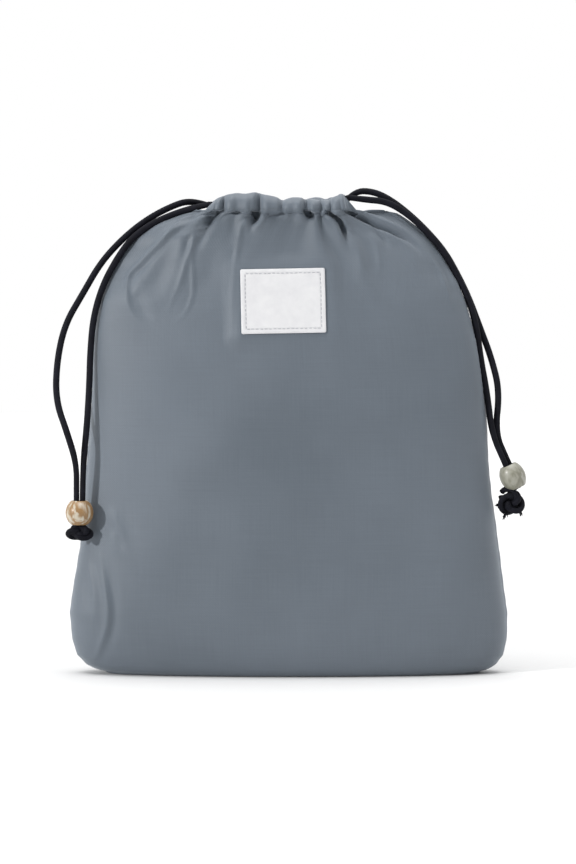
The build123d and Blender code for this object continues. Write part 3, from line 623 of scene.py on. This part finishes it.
pieces = {}
stitch_rows = {}
for side, name in ((-1, "front"), (1, "back")):
    cols = np.arange(0, HALF + 1) if side < 0 else (np.arange(HALF, COLS + 1) % COLS)
    g = cloth[:, cols]
    nrm = normals[:, cols]
    n = len(cols)
    u = np.linspace(-0.5, 0.5, n)
    uv = np.stack([u[None, :] * row_w[:, None], np.repeat(row_s[:, None], n, 1), np.zeros((ROWS, n))], 2)
    top = g[-1]
    mid = np.flatnonzero(np.abs(top[:, 1]) > RING_Y - 0.0003)
    c0, c1 = mid.min(), mid.max()
    # body panel, with its top edge turned in beside the casing
    verts, coords, faces = [g.reshape(-1, 3)], [uv.reshape(-1, 3)], [grid_faces(ROWS, n)]
    count = ROWS * n
    for lo, hi in ((0, c0 + 1), (c1, n)):
        m = hi - lo
        turn = [top[lo:hi] - nrm[-1, lo:hi] * 0.5 * mm + np.array([0, 0, 0.25 * mm])]
        turn += [g[-k, lo:hi] - nrm[-k, lo:hi] * 0.95 * mm for k in (2, 3, 4)]
        turn = np.array(turn)
        verts.append(turn.reshape(-1, 3))
        coords.append(np.repeat(uv[-1:, lo:hi], 4, 0).reshape(-1, 3) + np.repeat(np.arange(1, 5), m)[:, None] * np.array([0, 0.0008, 0]))
        faces.append(grid_faces(4, m, count))
        a, b = (ROWS - 1) * n + np.arange(lo, hi), count + np.arange(m)
        faces.append(np.stack([a[:-1], a[1:], b[1:], b[:-1]], 1))
        count += 4 * m
    ob = mesh_object(f"{name}_panel_cloth", np.concatenate(verts), np.concatenate(faces))
    store(ob, "cloth_uv", np.concatenate(coords))
    pieces[name + "_panel"] = thicken(ob, 0.0004)
    # casing: out over the cords, over the rim and down the inside
    edge = top[c0:c1 + 1]
    out = np.maximum(np.abs(edge[:, 1]) - RING_Y, 0) / mm
    rim = np.interp(edge[:, 0] / mm, *np.array(RIM[side]).T)
    rim = np.convolve(np.pad(rim, 3, "edge"), np.ones(7) / 7, "valid")
    grid = []
    for base_y, share, rise in outline:
        y = side * (base_y + share * out) * mm
        zz = RING_Z + rise * (rim * mm - RING_Z)
        ripple = 0.03 * mm * math.sin(math.pi * min(max(rise, 0), 1)) * np.sin(np.arange(len(edge)) * 0.55 + 2.0 * rise)
        lean = 2.6 * mm * max(rise, 0) * (np.exp(-(edge[:, 0] / mm + 51.5) / 5) - np.exp((edge[:, 0] / mm - 39.5) / 5))
        grid.append(np.stack([edge[:, 0] + lean, y + side * ripple, zz], 1))
    grid = np.array(grid)
    grid[0] = edge
    arc = np.concatenate([[0], np.cumsum(np.linalg.norm(np.diff(grid[:, len(edge) // 2], axis=0), axis=1))])
    wide = np.concatenate([[0], np.cumsum(np.linalg.norm(np.diff(edge, axis=0), axis=1))])
    cuv = np.stack([np.repeat(wide[None], len(grid), 0), np.repeat(arc[:, None], len(wide), 1) + row_s[-1], np.zeros((len(grid), len(wide)))], 2)
    ob = mesh_object(f"{name}_casing_cloth", grid.reshape(-1, 3), grid_faces(*grid.shape[:2]))
    store(ob, "cloth_uv", cuv.reshape(-1, 3))
    pieces[name + "_casing"] = thicken(ob, 0.0004)
    stitch_rows[side] = (grid[2], nrm[-1, c0:c1 + 1], wide)
    print(name, "casing fabric", round(wide[-1], 4), "x", round(arc[-1], 4))


# ================================================================== threads
def capsules(name, ends, radius, around_n=8):
    """Short rounded stitches, each from one point to another, as one mesh."""
    verts, faces = [], []
    prof = [(0.0, 0.25), (0.08, 0.75), (0.2, 1.0), (0.5, 1.06), (0.8, 1.0), (0.92, 0.75), (1.0, 0.25)]
    th = np.arange(around_n) / around_n * 2 * np.pi
    for a, b, up in ends:
        a, b, up = np.array(a), np.array(b), np.array(up)
        t = (b - a) / np.linalg.norm(b - a)
        up = up - t * np.dot(up, t)
        up /= np.linalg.norm(up)
        sidev = np.cross(t, up)
        base = sum(len(x) for x in verts)
        for f, r in prof:
            c = a + (b - a) * f + up * radius * 0.5 * math.sin(math.pi * f)
            verts.append(c + radius * r * (np.cos(th)[:, None] * sidev + np.sin(th)[:, None] * up))
        for k in range(len(prof) - 1):
            for i in range(around_n):
                j = (i + 1) % around_n
                faces.append((base + k * around_n + i, base + k * around_n + j, base + (k + 1) * around_n + j, base + (k + 1) * around_n + i))
        faces.append(tuple(base + i for i in range(around_n))[::-1])
        faces.append(tuple(base + (len(prof) - 1) * around_n + i for i in range(around_n)))
    return mesh_object(name, np.concatenate(verts), faces)


ends = []
for side, (line, nr, wide) in stitch_rows.items():
    t = 0.0015
    while t + 0.0023 < wide[-1]:
        a = np.array([np.interp(t, wide, line[:, k]) for k in range(3)])
        b = np.array([np.interp(t + 0.0022, wide, line[:, k]) for k in range(3)])
        d = (b - a) / np.linalg.norm(b - a)
        up = np.cross(d, (0, 0, 1.0)) * 1.0
        if up[1] * side < 0:
            up = -up
        up /= np.linalg.norm(up)
        ends.append((a + up * 0.00012, b + up * 0.00012, up))
        t += 0.0034
casing_thread = capsules("casing_stitching_thread", ends, 0.00015)


# ================================================================== label
def rounded_rectangle(w, h, r, n_corner=8, n_side=18):
    pts = []
    for cx, cy, a0 in ((w / 2 - r, h / 2 - r, 0), (-w / 2 + r, h / 2 - r, 90), (-w / 2 + r, -h / 2 + r, 180), (w / 2 - r, -h / 2 + r, 270)):
        for k in range(n_corner + 1):
            a = math.radians(a0 + 90 * k / n_corner)
            pts.append((cx + r * math.cos(a), cy + r * math.sin(a)))
        nx, ny = {0: (-w / 2 + r, h / 2), 90: (-w / 2, -h / 2 + r), 180: (w / 2 - r, -h / 2), 270: (w / 2, h / 2 - r)}[a0]
        px, py = pts[-1]
        pts += [(px + (nx - px) * k / n_side, py + (ny - py) * k / n_side) for k in range(1, n_side)]
    return np.array(pts)


def on_label(a, b, h):
    """Label coordinates to the row frame, with the patch's slight unevenness."""
    h = h + 0.00010 * np.sin(a / 0.006 + 0.7) * np.cos(b / 0.009) + 0.00012 * np.sin(b / 0.005 + a / 0.02)
    return L_BACK + np.multiply.outer(a, L_X) + np.multiply.outer(b, L_Z) + np.multiply.outer(h, L_N)


STITCH_IN = 0.0030
insets = [0.0, 0.00006, 0.00015, 0.0003, 0.0005, 0.0008, 0.0013, 0.0020, 0.0024, 0.0027, 0.0030, 0.0033, 0.0036, 0.0042, 0.0055, 0.0075, 0.010, 0.013, 0.016, 0.019, 0.0208]
rings_l = []
outer = rounded_rectangle(LW, LH, 0.0012)
for e, h in [(0.0004, 0.00008), (0.0, 0.00020)]:
    p = rounded_rectangle(LW - 2 * e, LH - 2 * e, 0.0012)
    rings_l.append(on_label(p[:, 0], p[:, 1], np.full(len(p), h)))
for e in insets:
    p = rounded_rectangle(LW - 2 * e, LH - 2 * e, max(0.0012 - e, 0.00025))
    rise = LT * (0.42 + 0.58 * math.sqrt(1 - (1 - min(e / 0.0006, 1)) ** 2))
    rise -= 0.00016 * math.exp(-((e - STITCH_IN) / 0.00035) ** 2)
    rise += 0.00010 * math.exp(-((e - 0.0018) / 0.0007) ** 2)
    rings_l.append(on_label(p[:, 0], p[:, 1], np.full(len(p), rise)))
nl = len(outer)
lf = [(j * nl + i, j * nl + (i + 1) % nl, (j + 1) * nl + (i + 1) % nl, (j + 1) * nl + i) for j in range(len(rings_l) - 1) for i in range(nl)]
lf.append(tuple(range(nl))[::-1])
lf.append(tuple((len(rings_l) - 1) * nl + i for i in range(nl)))
label = mesh_object("label_patch_leather", np.concatenate(rings_l), lf)
ends = []
sx, sz = LW - 2 * STITCH_IN, LH - 2 * STITCH_IN
rng = np.random.default_rng(7)
for k in range(17):
    c = (k - 8) * sx / 17
    for e in (-1, 1):
        j = rng.uniform(-0.00012, 0.00012, 3)
        a, b = on_label(np.array([c - 0.00095 + j[0], c + 0.00095 + j[1]]), np.array([e * sz / 2 + j[2]] * 2), np.array([LT] * 2))
        ends.append((a, b, L_N))
for k in range(13):
    c = (k - 6) * sz / 13
    for e in (-1, 1):
        j = rng.uniform(-0.00012, 0.00012, 3)
        a, b = on_label(np.array([e * sx / 2 + j[2]] * 2), np.array([c - 0.00095 + j[0], c + 0.00095 + j[1]]), np.array([LT] * 2))
        ends.append((a, b, L_N))
label_thread = capsules("label_stitching_thread", ends, 0.00022)

# ================================================================== seam allowances, inside
def strip(name, line, inward, depth=0.006, gap=0.0016):
    """Two plies of cloth standing in from a seam, joined along it."""
    verts, coords, faces = [], [], []
    t = np.linspace(0, 1, 5)
    s = np.concatenate([[0], np.cumsum(np.linalg.norm(np.diff(line, axis=0), axis=1))])
    cols = np.concatenate([-t[::-1], t[1:]])
    grid = []
    for c in cols:
        wob = 0.00035 * np.sin(s / 0.011 + 2 * abs(c)) * abs(c)
        off = np.sign(c) * (0.00035 + 0.0006 * abs(c)) * (abs(c) > 0)
        grid.append(line + inward * (gap + depth * abs(c)) + np.stack([0 * s, off + wob, 0 * s], 1))
    grid = np.array(grid)
    ob = mesh_object(name, grid.reshape(-1, 3), grid_faces(*grid.shape[:2]))
    store(ob, "cloth_uv", np.stack([np.repeat(cols[:, None] * depth, len(s), 1), np.repeat(s[None], len(cols), 0), np.zeros((len(cols), len(s)))], 2).reshape(-1, 3))
    return thicken(ob, 0.0003)


keep = (cloth[:, 0, 2] > 0.024) & (cloth[:, 0, 2] < 0.268)
left_line = cloth[keep, 0].copy()
right_line = cloth[keep, HALF].copy()
bottom_line = np.stack([np.linspace(-0.103, 0.109, 80), np.zeros(80), np.full(80, 0.0006)], 1)
allowances = {
    "left_seam_allowance": strip("left_seam_allowance_cloth", left_line, np.array([1.0, 0, 0])),
    "right_seam_allowance": strip("right_seam_allowance_cloth", right_line, np.array([-1.0, 0, 0])),
    "bottom_seam_allowance": strip("bottom_seam_allowance_cloth", bottom_line, np.array([0, 0, 1.0]), gap=0.0010),
}


# ================================================================== beads
def bead(name, centre, axis, radius, half):
    """A turned barrel bead with a rounded bore, standing along axis."""
    bore, flat = 0.00415, 0.0055
    prof = []
    for k in range(9):                                  # outside, bottom to top
        a = math.asin(min(1, 1.0)) * (k - 4) / 4
        e = math.acos(flat / radius)
        prof.append((radius * math.cos(e * (k - 4) / 4), half * math.sin(e * (k - 4) / 4) / math.sin(e)))
    prof = [(bore + 0.0005, -half + 0.00002), (flat - 0.0004, -half)] + prof[0:0] + prof
    prof += [(flat - 0.0004, half), (bore + 0.0005, half - 0.00002), (bore + 0.00012, half - 0.0002), (bore, half - 0.0006), (bore, 0.0), (bore, -half + 0.0006), (bore + 0.00012, -half + 0.0002)]
    prof = line_through(prof + prof[:1], 150)[:-1]
    n = 72
    th = np.arange(n) / n * 2 * np.pi
    ax = Vector(axis).normalized()
    xa = ax.cross(Vector((0, 1, 0))).normalized()
    ya = ax.cross(xa)
    ax, xa, ya, c = (np.array(q) for q in (ax, xa, ya, centre))
    verts = np.concatenate([c + ax * h + r * (np.cos(th)[:, None] * xa + np.sin(th)[:, None] * ya) for r, h in prof])
    m = len(prof)
    i = np.arange(m * n).reshape(m, n)
    faces = np.stack([i, np.roll(i, -1, 1), np.roll(np.roll(i, -1, 0), -1, 1), np.roll(i, -1, 0)], -1).reshape(-1, 4)
    ob = mesh_object(name, verts, faces)
    store(ob, "grain", (verts - c) @ np.stack([xa, ya, ax], 1))
    return ob


bead_l = bead("left_bead_wood", LEFT_BEAD, (0, 0, 1), 0.0090, 0.0077)
bead_r = bead("right_bead_wood", RIGHT_BEAD, AXIS_R, 0.0084, 0.0079)


# ================================================================== knots
def joined(name, parts):
    verts, faces, base = [], [], 0
    for ob in parts:
        co = np.array([q.co for q in ob.data.vertices])
        verts.append(co)
        faces += [tuple(base + i for i in p.vertices) for p in ob.data.polygons]
        base += len(co)
        bpy.data.objects.remove(ob)
    return mesh_object(name, np.concatenate(verts), faces)


def knot_path(centre, size, rot, squash, phase, n=150, share=0.97):
    """An overhand turn drawn tight: a trefoil squeezed into the knot's box."""
    t = np.linspace(0, 2 * np.pi * share, n) + phase
    r = 2 + np.cos(3 * t)
    p = np.stack([r * np.cos(2 * t), np.sin(3 * t) * 1.3, r * np.sin(2 * t)], 1)
    p[:, 0] += squash * np.sin(2 * t + 1.0)
    q = math.radians(90)
    p[:, 0], p[:, 2] = p[:, 0] * math.cos(q) - p[:, 2] * math.sin(q), p[:, 0] * math.sin(q) + p[:, 2] * math.cos(q)
    p = p / np.abs(p).max(0) * np.array(size)
    a = math.radians(rot)
    x, zz = p[:, 0].copy(), p[:, 2].copy()
    p[:, 0], p[:, 2] = x * math.cos(a) - zz * math.sin(a), x * math.sin(a) + zz * math.cos(a)
    return p + np.array(centre)


def fibres(name, root, direction, count, length, seed):
    """A short frayed tuft at a cut end."""
    r = np.random.default_rng(seed)
    verts, faces = [], []
    d0 = np.array(direction) / np.linalg.norm(direction)
    for k in range(count):
        d = d0 + r.normal(0, 0.28, 3)
        d /= np.linalg.norm(d)
        a = np.array(root) + r.normal(0, 0.00055, 3)
        l = length * r.uniform(0.6, 1.1)
        s1 = np.cross(d, (0.2, 0.3, 0.9))
        s1 /= np.linalg.norm(s1)
        s2 = np.cross(d, s1)
        base = len(verts) * 5
        bend = r.normal(0, 0.0004, 3)
        for f, rr in ((0, 0.00060), (0.5, 0.00048), (1, 0.00016)):
            c = a + d * l * f + bend * f * f
            verts.append(np.array([c + rr * (math.cos(q) * s1 + math.sin(q) * s2) for q in np.arange(5) / 5 * 2 * math.pi]))
        for ring_i in range(2):
            for i in range(5):
                j = (i + 1) % 5
                faces.append((base + ring_i * 5 + i, base + ring_i * 5 + j, base + (ring_i + 1) * 5 + j, base + (ring_i + 1) * 5 + i))
        faces += [tuple(base + i for i in range(5))[::-1], tuple(base + 10 + i for i in range(5))]
    return mesh_object(name, np.concatenate(verts), faces)


lo, hi = (np.array(v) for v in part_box("left_knot"))
kc, kh = (lo + hi) / 2 + (0, 0, 0.0006), (hi - lo) / 2 - (0.0018, 0.0018, 0.0012)
parts = [
    braided("k1", knot_path(kc, kh, 0, 0.25, 0.0), 0.0019, 30),
    braided("k2", knot_path(kc + (0.0003, 0.0004, 0.0008), kh * (0.62, 1.0, 0.55), 8, 0.0, 0.9), 0.00185, 30),
]
knot_l = joined("left_knot_cord", parts)
lo, hi = (np.array(v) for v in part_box("right_knot"))
kc, kh = (lo + hi) / 2 + (-0.0026, 0, -0.0004), (hi - lo) / 2 - (0.0013, 0.0019, 0.0010)
parts = [
    braided("k1", knot_path(kc, kh * (0.86, 1.0, 0.92), 20, 0.5, 0.4), 0.0019, 30),
    braided("k2", knot_path(kc + (0.0006, -0.0006, 0.0006), kh * (0.60, 1.0, 0.62), -35, 0.2, 1.3), 0.0019, 30),
    braided("k6", knot_path(kc + (-0.0006, 0.0010, -0.0008), kh * (0.45, 0.5, 0.45), 60, 0.3, 2.1), 0.0019, 30),
    fibres("k3", kc + (-kh[0] * 0.86, -0.0010, -kh[2] * 0.2), (-0.9, -0.2, -0.3), 12, 0.0030, 3),
    fibres("k4", kc + (-kh[0] * 0.4, -0.0012, -kh[2] * 0.86), (-0.4, -0.3, -0.9), 12, 0.0034, 4),
    fibres("k5", kc + (kh[0] * 0.75, -0.0012, -kh[2] * 0.66), (0.6, -0.2, -0.8), 10, 0.0030, 5),
]
knot_r = joined("right_knot_cord", parts)


# ================================================================== materials
def material(name):
    m = bpy.data.materials.new(name)
    m.use_nodes = True
    nt = m.node_tree
    return m, nt, nt.nodes, nt.links, nt.nodes["Principled BSDF"]


def node(nodes, kind, inputs=None, **props):
    n = nodes.new(kind)
    for k, v in props.items():
        setattr(n, k, v)
    for k, v in (inputs or {}).items():
        n.inputs[k].default_value = v
    return n


def ramp(nodes, stops):
    r = nodes.new("ShaderNodeValToRGB")
    el = r.color_ramp.elements
    while len(el) < len(stops):
        el.new(0.5)
    for e, (p, c) in zip(el, stops):
        e.position, e.color = p, (*c, 1)
    return r


def cloth_material(name, dark, light, sheen=0.35, rough=0.50):
    m, nt, nodes, links, bsdf = material(name)
    at = node(nodes, "ShaderNodeAttribute", attribute_name="cloth_uv")
    tc = node(nodes, "ShaderNodeTexCoord")

    def scaled(vec, out):
        mp = node(nodes, "ShaderNodeMapping", {"Scale": vec})
        links.new(out, mp.inputs["Vector"])
        return mp.outputs["Vector"]

    broad = node(nodes, "ShaderNodeTexNoise", {"Scale": 9.0, "Detail": 3.0, "Roughness": 0.5})
    links.new(tc.outputs["Object"], broad.inputs["Vector"])
    warp_yarn = node(nodes, "ShaderNodeTexNoise", {"Scale": 1.0, "Detail": 2.0, "Roughness": 0.6})
    links.new(scaled((1500, 26, 1), at.outputs["Vector"]), warp_yarn.inputs["Vector"])
    weft_yarn = node(nodes, "ShaderNodeTexNoise", {"Scale": 1.0, "Detail": 2.0, "Roughness": 0.6})
    links.new(scaled((26, 1500, 1), at.outputs["Vector"]), weft_yarn.inputs["Vector"])
    slub = node(nodes, "ShaderNodeMath", operation="ADD")
    links.new(warp_yarn.outputs["Fac"], slub.inputs[0])
    links.new(weft_yarn.outputs["Fac"], slub.inputs[1])
    mix = node(nodes, "ShaderNodeMath", operation="MULTIPLY_ADD")
    mix.inputs[1].default_value = 0.30
    links.new(slub.outputs[0], mix.inputs[0])
    links.new(broad.outputs["Fac"], mix.inputs[2])
    cr = ramp(nodes, [(0.52, dark), (1.10 if False else 1.0, light)])
    links.new(mix.outputs[0], cr.inputs["Fac"])
    links.new(cr.outputs["Color"], bsdf.inputs["Base Color"])
    twill = node(nodes, "ShaderNodeTexWave", {"Scale": 1.0, "Distortion": 0.6, "Detail": 1.0, "Detail Scale": 2.0}, wave_type="BANDS", bands_direction="DIAGONAL")
    links.new(scaled((420, 420, 1), at.outputs["Vector"]), twill.inputs["Vector"])
    cross = node(nodes, "ShaderNodeTexWave", {"Scale": 1.0, "Distortion": 0.4, "Detail": 1.0}, wave_type="BANDS", bands_direction="X")
    links.new(scaled((560, 560, 1), at.outputs["Vector"]), cross.inputs["Vector"])
    add = node(nodes, "ShaderNodeMath", operation="ADD")
    links.new(twill.outputs["Fac"], add.inputs[0])
    links.new(cross.outputs["Fac"], add.inputs[1])
    add2 = node(nodes, "ShaderNodeMath", operation="ADD")
    links.new(add.outputs[0], add2.inputs[0])
    links.new(slub.outputs[0], add2.inputs[1])
    bump = node(nodes, "ShaderNodeBump", {"Strength": 0.5, "Distance": 0.00006})
    links.new(add2.outputs[0], bump.inputs["Height"])
    soft = node(nodes, "ShaderNodeTexNoise", {"Scale": 70.0, "Detail": 4.0, "Roughness": 0.55})
    links.new(tc.outputs["Object"], soft.inputs["Vector"])
    bump2 = node(nodes, "ShaderNodeBump", {"Strength": 0.35, "Distance": 0.0004})
    links.new(soft.outputs["Fac"], bump2.inputs["Height"])
    links.new(bump.outputs["Normal"], bump2.inputs["Normal"])
    links.new(bump2.outputs["Normal"], bsdf.inputs["Normal"])
    mr = node(nodes, "ShaderNodeMapRange", {"From Min": 0.3, "From Max": 0.7, "To Min": rough - 0.05, "To Max": rough + 0.06})
    links.new(broad.outputs["Fac"], mr.inputs["Value"])
    links.new(mr.outputs["Result"], bsdf.inputs["Roughness"])
    bsdf.inputs["Specular IOR Level"].default_value = 0.45
    bsdf.inputs["Sheen Weight"].default_value = sheen
    bsdf.inputs["Sheen Roughness"].default_value = 0.45
    bsdf.inputs["Sheen Tint"].default_value = (0.86, 0.92, 1.0, 1)
    return m


def cord_material(name):
    m, nt, nodes, links, bsdf = material(name)
    tc = node(nodes, "ShaderNodeTexCoord")
    fine = node(nodes, "ShaderNodeTexNoise", {"Scale": 2600.0, "Detail": 2.0, "Roughness": 0.6})
    broad = node(nodes, "ShaderNodeTexNoise", {"Scale": 160.0, "Detail": 3.0})
    for n in (fine, broad):
        links.new(tc.outputs["Object"], n.inputs["Vector"])
    cr = ramp(nodes, [(0.30, (0.0030, 0.0032, 0.0058)), (0.75, (0.0080, 0.0084, 0.0140))])
    links.new(broad.outputs["Fac"], cr.inputs["Fac"])
    links.new(cr.outputs["Color"], bsdf.inputs["Base Color"])
    bump = node(nodes, "ShaderNodeBump", {"Strength": 0.6, "Distance": 0.00008})
    links.new(fine.outputs["Fac"], bump.inputs["Height"])
    links.new(bump.outputs["Normal"], bsdf.inputs["Normal"])
    mr = node(nodes, "ShaderNodeMapRange", {"To Min": 0.62, "To Max": 0.82})
    links.new(broad.outputs["Fac"], mr.inputs["Value"])
    links.new(mr.outputs["Result"], bsdf.inputs["Roughness"])
    bsdf.inputs["Specular IOR Level"].default_value = 0.14
    bsdf.inputs["Sheen Weight"].default_value = 0.01
    return m


def wood_material(name, stops, shift, swirl):
    m, nt, nodes, links, bsdf = material(name)
    at = node(nodes, "ShaderNodeAttribute", attribute_name="grain")
    mp = node(nodes, "ShaderNodeMapping", {"Location": shift, "Scale": (95, 95, 60)})
    links.new(at.outputs["Vector"], mp.inputs["Vector"])
    patch_n = node(nodes, "ShaderNodeTexNoise", {"Scale": 1.0, "Detail": 3.0, "Roughness": 0.55, "Distortion": swirl})
    links.new(mp.outputs["Vector"], patch_n.inputs["Vector"])
    mp2 = node(nodes, "ShaderNodeMapping", {"Scale": (520, 520, 60)})
    links.new(at.outputs["Vector"], mp2.inputs["Vector"])
    grain = node(nodes, "ShaderNodeTexNoise", {"Scale": 1.0, "Detail": 4.0, "Roughness": 0.6, "Distortion": 0.4})
    links.new(mp2.outputs["Vector"], grain.inputs["Vector"])
    ad = node(nodes, "ShaderNodeMath", operation="MULTIPLY_ADD")
    ad.inputs[1].default_value = 0.16
    links.new(grain.outputs["Fac"], ad.inputs[0])
    links.new(patch_n.outputs["Fac"], ad.inputs[2])
    cr = ramp(nodes, stops)
    links.new(ad.outputs[0], cr.inputs["Fac"])
    links.new(cr.outputs["Color"], bsdf.inputs["Base Color"])
    bump = node(nodes, "ShaderNodeBump", {"Strength": 0.4, "Distance": 0.00010})
    links.new(grain.outputs["Fac"], bump.inputs["Height"])
    links.new(bump.outputs["Normal"], bsdf.inputs["Normal"])
    mr = node(nodes, "ShaderNodeMapRange", {"To Min": 0.34, "To Max": 0.52})
    links.new(grain.outputs["Fac"], mr.inputs["Value"])
    links.new(mr.outputs["Result"], bsdf.inputs["Roughness"])
    bsdf.inputs["Coat Weight"].default_value = 0.25
    bsdf.inputs["Coat Roughness"].default_value = 0.25
    return m


def fine_material(name, dark, light, scale, rough, bump_mm, sheen=0.0, stretch=(1, 1, 1)):
    m, nt, nodes, links, bsdf = material(name)
    tc = node(nodes, "ShaderNodeTexCoord")
    mp = node(nodes, "ShaderNodeMapping", {"Scale": stretch})
    links.new(tc.outputs["Object"], mp.inputs["Vector"])
    a = node(nodes, "ShaderNodeTexNoise", {"Scale": scale, "Detail": 4.0, "Roughness": 0.6})
    b = node(nodes, "ShaderNodeTexNoise", {"Scale": scale / 9, "Detail": 3.0, "Roughness": 0.5})
    v = node(nodes, "ShaderNodeTexVoronoi", {"Scale": scale * 0.8})
    for n in (a, b, v):
        links.new(mp.outputs["Vector"], n.inputs["Vector"])
    cr = ramp(nodes, [(0.3, dark), (0.7, light)])
    links.new(b.outputs["Fac"], cr.inputs["Fac"])
    links.new(cr.outputs["Color"], bsdf.inputs["Base Color"])
    ad = node(nodes, "ShaderNodeMath", operation="ADD")
    links.new(a.outputs["Fac"], ad.inputs[0])
    links.new(v.outputs["Distance"], ad.inputs[1])
    bump = node(nodes, "ShaderNodeBump", {"Strength": 0.5, "Distance": bump_mm * mm})
    links.new(ad.outputs[0], bump.inputs["Height"])
    links.new(bump.outputs["Normal"], bsdf.inputs["Normal"])
    mr = node(nodes, "ShaderNodeMapRange", {"To Min": rough - 0.06, "To Max": rough + 0.08})
    links.new(a.outputs["Fac"], mr.inputs["Value"])
    links.new(mr.outputs["Result"], bsdf.inputs["Roughness"])
    bsdf.inputs["Sheen Weight"].default_value = sheen
    return m


CLOTH = cloth_material("satin_polyester", (0.091, 0.111, 0.134), (0.122, 0.146, 0.175))
CORD = cord_material("braided_cord")
WOOD_L = wood_material("bead_wood_left", [(0.36, (0.58, 0.55, 0.48)), (0.48, (0.50, 0.44, 0.34)), (0.54, (0.27, 0.155, 0.062)), (0.66, (0.31, 0.185, 0.080)), (0.76, (0.55, 0.50, 0.42))], (0.3, 1.9, 0.4), 1.4)
# the right bead: a darker, greyer copy of the bead wood; its grain pattern is the wood's own, its darker grey tones are
# painted shade for the shade it hangs in
WOOD_R_PAINTED_SHADE = wood_material("bead_wood_right_painted_shade", [(0.36, (0.32, 0.32, 0.28)), (0.52, (0.29, 0.285, 0.235)), (0.62, (0.19, 0.185, 0.14)), (0.76, (0.35, 0.345, 0.30))], (2.3, 0.2, 1.1), 0.9)
LABEL = fine_material("label_white", (0.635, 0.635, 0.65), (0.69, 0.69, 0.70), 1400, 0.55, 0.05)
LABEL_THREAD = fine_material("label_thread_grey", (0.36, 0.37, 0.40), (0.50, 0.51, 0.54), 4000, 0.7, 0.03, 0.1)
BODY_THREAD = fine_material("body_thread_grey", (0.09, 0.11, 0.13), (0.12, 0.143, 0.17), 4000, 0.6, 0.03, 0.1)
FLOOR = fine_material("pale_floor", (0.71, 0.71, 0.71), (0.74, 0.74, 0.74), 30, 0.85, 0.02)


def dress(ob, mat, body, slot, *nodes_replaced):
    ob.data.materials.clear()
    ob.data.materials.append(mat)
    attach(ob, body)
    if nodes_replaced:
        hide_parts(*nodes_replaced)
    return ob


for name in ("front_panel", "back_panel", "front_casing", "back_casing"):
    dress(pieces[name], CLOTH, "bag", "cloth", name)
for name, ob in allowances.items():
    dress(ob, CLOTH, "bag", "cloth", name)
dress(casing_thread, BODY_THREAD, "bag", "body_thread", "casing_stitching")
dress(label, LABEL, "bag", "label", "label_patch")
dress(label_thread, LABEL_THREAD, "bag", "label_thread", "label_stitching")
for name, ob in {**strands, **loops}.items():
    dress(ob, CORD, "bag", "cord", name)
dress(knot_l, CORD, "bag", "cord", "left_knot")
dress(knot_r, CORD, "bag", "cord", "right_knot")
dress(bead_l, WOOD_L, "left_bead", "bead_wood", "left_bead")
dress(bead_r, WOOD_R_PAINTED_SHADE, "right_bead", "bead_wood", "right_bead")

# ================================================================== the side each strand comes from, read from its name
for name, ob in strands.items():
    side = name.split("_")[0]

# ================================================================== floor and light
floor = mesh_object("floor", [(-6, -6, 0), (6, -6, 0), (6, 6, 0), (-6, 6, 0)], [(0, 1, 2, 3)], smooth=False)
floor.data.materials.append(FLOOR)

world = bpy.data.worlds.new("studio")
bpy.context.scene.world = world
bpy.context.scene.view_settings.view_transform = "Standard"
world.use_nodes = True
world.node_tree.nodes["Background"].inputs[0].default_value = (1, 1, 1, 1)
tree = world.node_tree
# a white backdrop all round, with the room dim on the side the bag faces
coord = tree.nodes.new("ShaderNodeTexCoord")
split = tree.nodes.new("ShaderNodeSeparateXYZ")
dim = tree.nodes.new("ShaderNodeMapRange")
dim.interpolation_type = "SMOOTHSTEP"
for key, value in (("From Min", -0.85), ("From Max", 0.25), ("To Min", 0.20), ("To Max", 1.0)):
    dim.inputs[key].default_value = value
tree.links.new(coord.outputs["Generated"], split.inputs["Vector"])
lean_right = tree.nodes.new("ShaderNodeMath")
lean_right.operation = "MULTIPLY_ADD"
lean_right.inputs[1].default_value = 0.40
tree.links.new(split.outputs["X"], lean_right.inputs[0])
tree.links.new(split.outputs["Y"], lean_right.inputs[2])
tree.links.new(lean_right.outputs["Value"], dim.inputs["Value"])
tree.links.new(dim.outputs["Result"], tree.nodes["Background"].inputs["Strength"])


def sun(name, direction, strength, angle, color=(1, 1, 1)):
    l = bpy.data.lights.new(name, "SUN")
    l.energy, l.angle, l.color = strength, math.radians(angle), color
    ob = link(bpy.data.objects.new(name, l))
    ob.rotation_euler = Vector(direction).to_track_quat("-Z", "Y").to_euler()
    return ob


sun("key", (0.78, 0.55, -0.30), 2.15, 3.0)
sun("top", (0.05, 0.12, -1.0), 2.1, 50.0)

bpy.context.view_layer.update()
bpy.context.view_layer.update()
print("scene made", round(time.time() - T0, 1), "s")
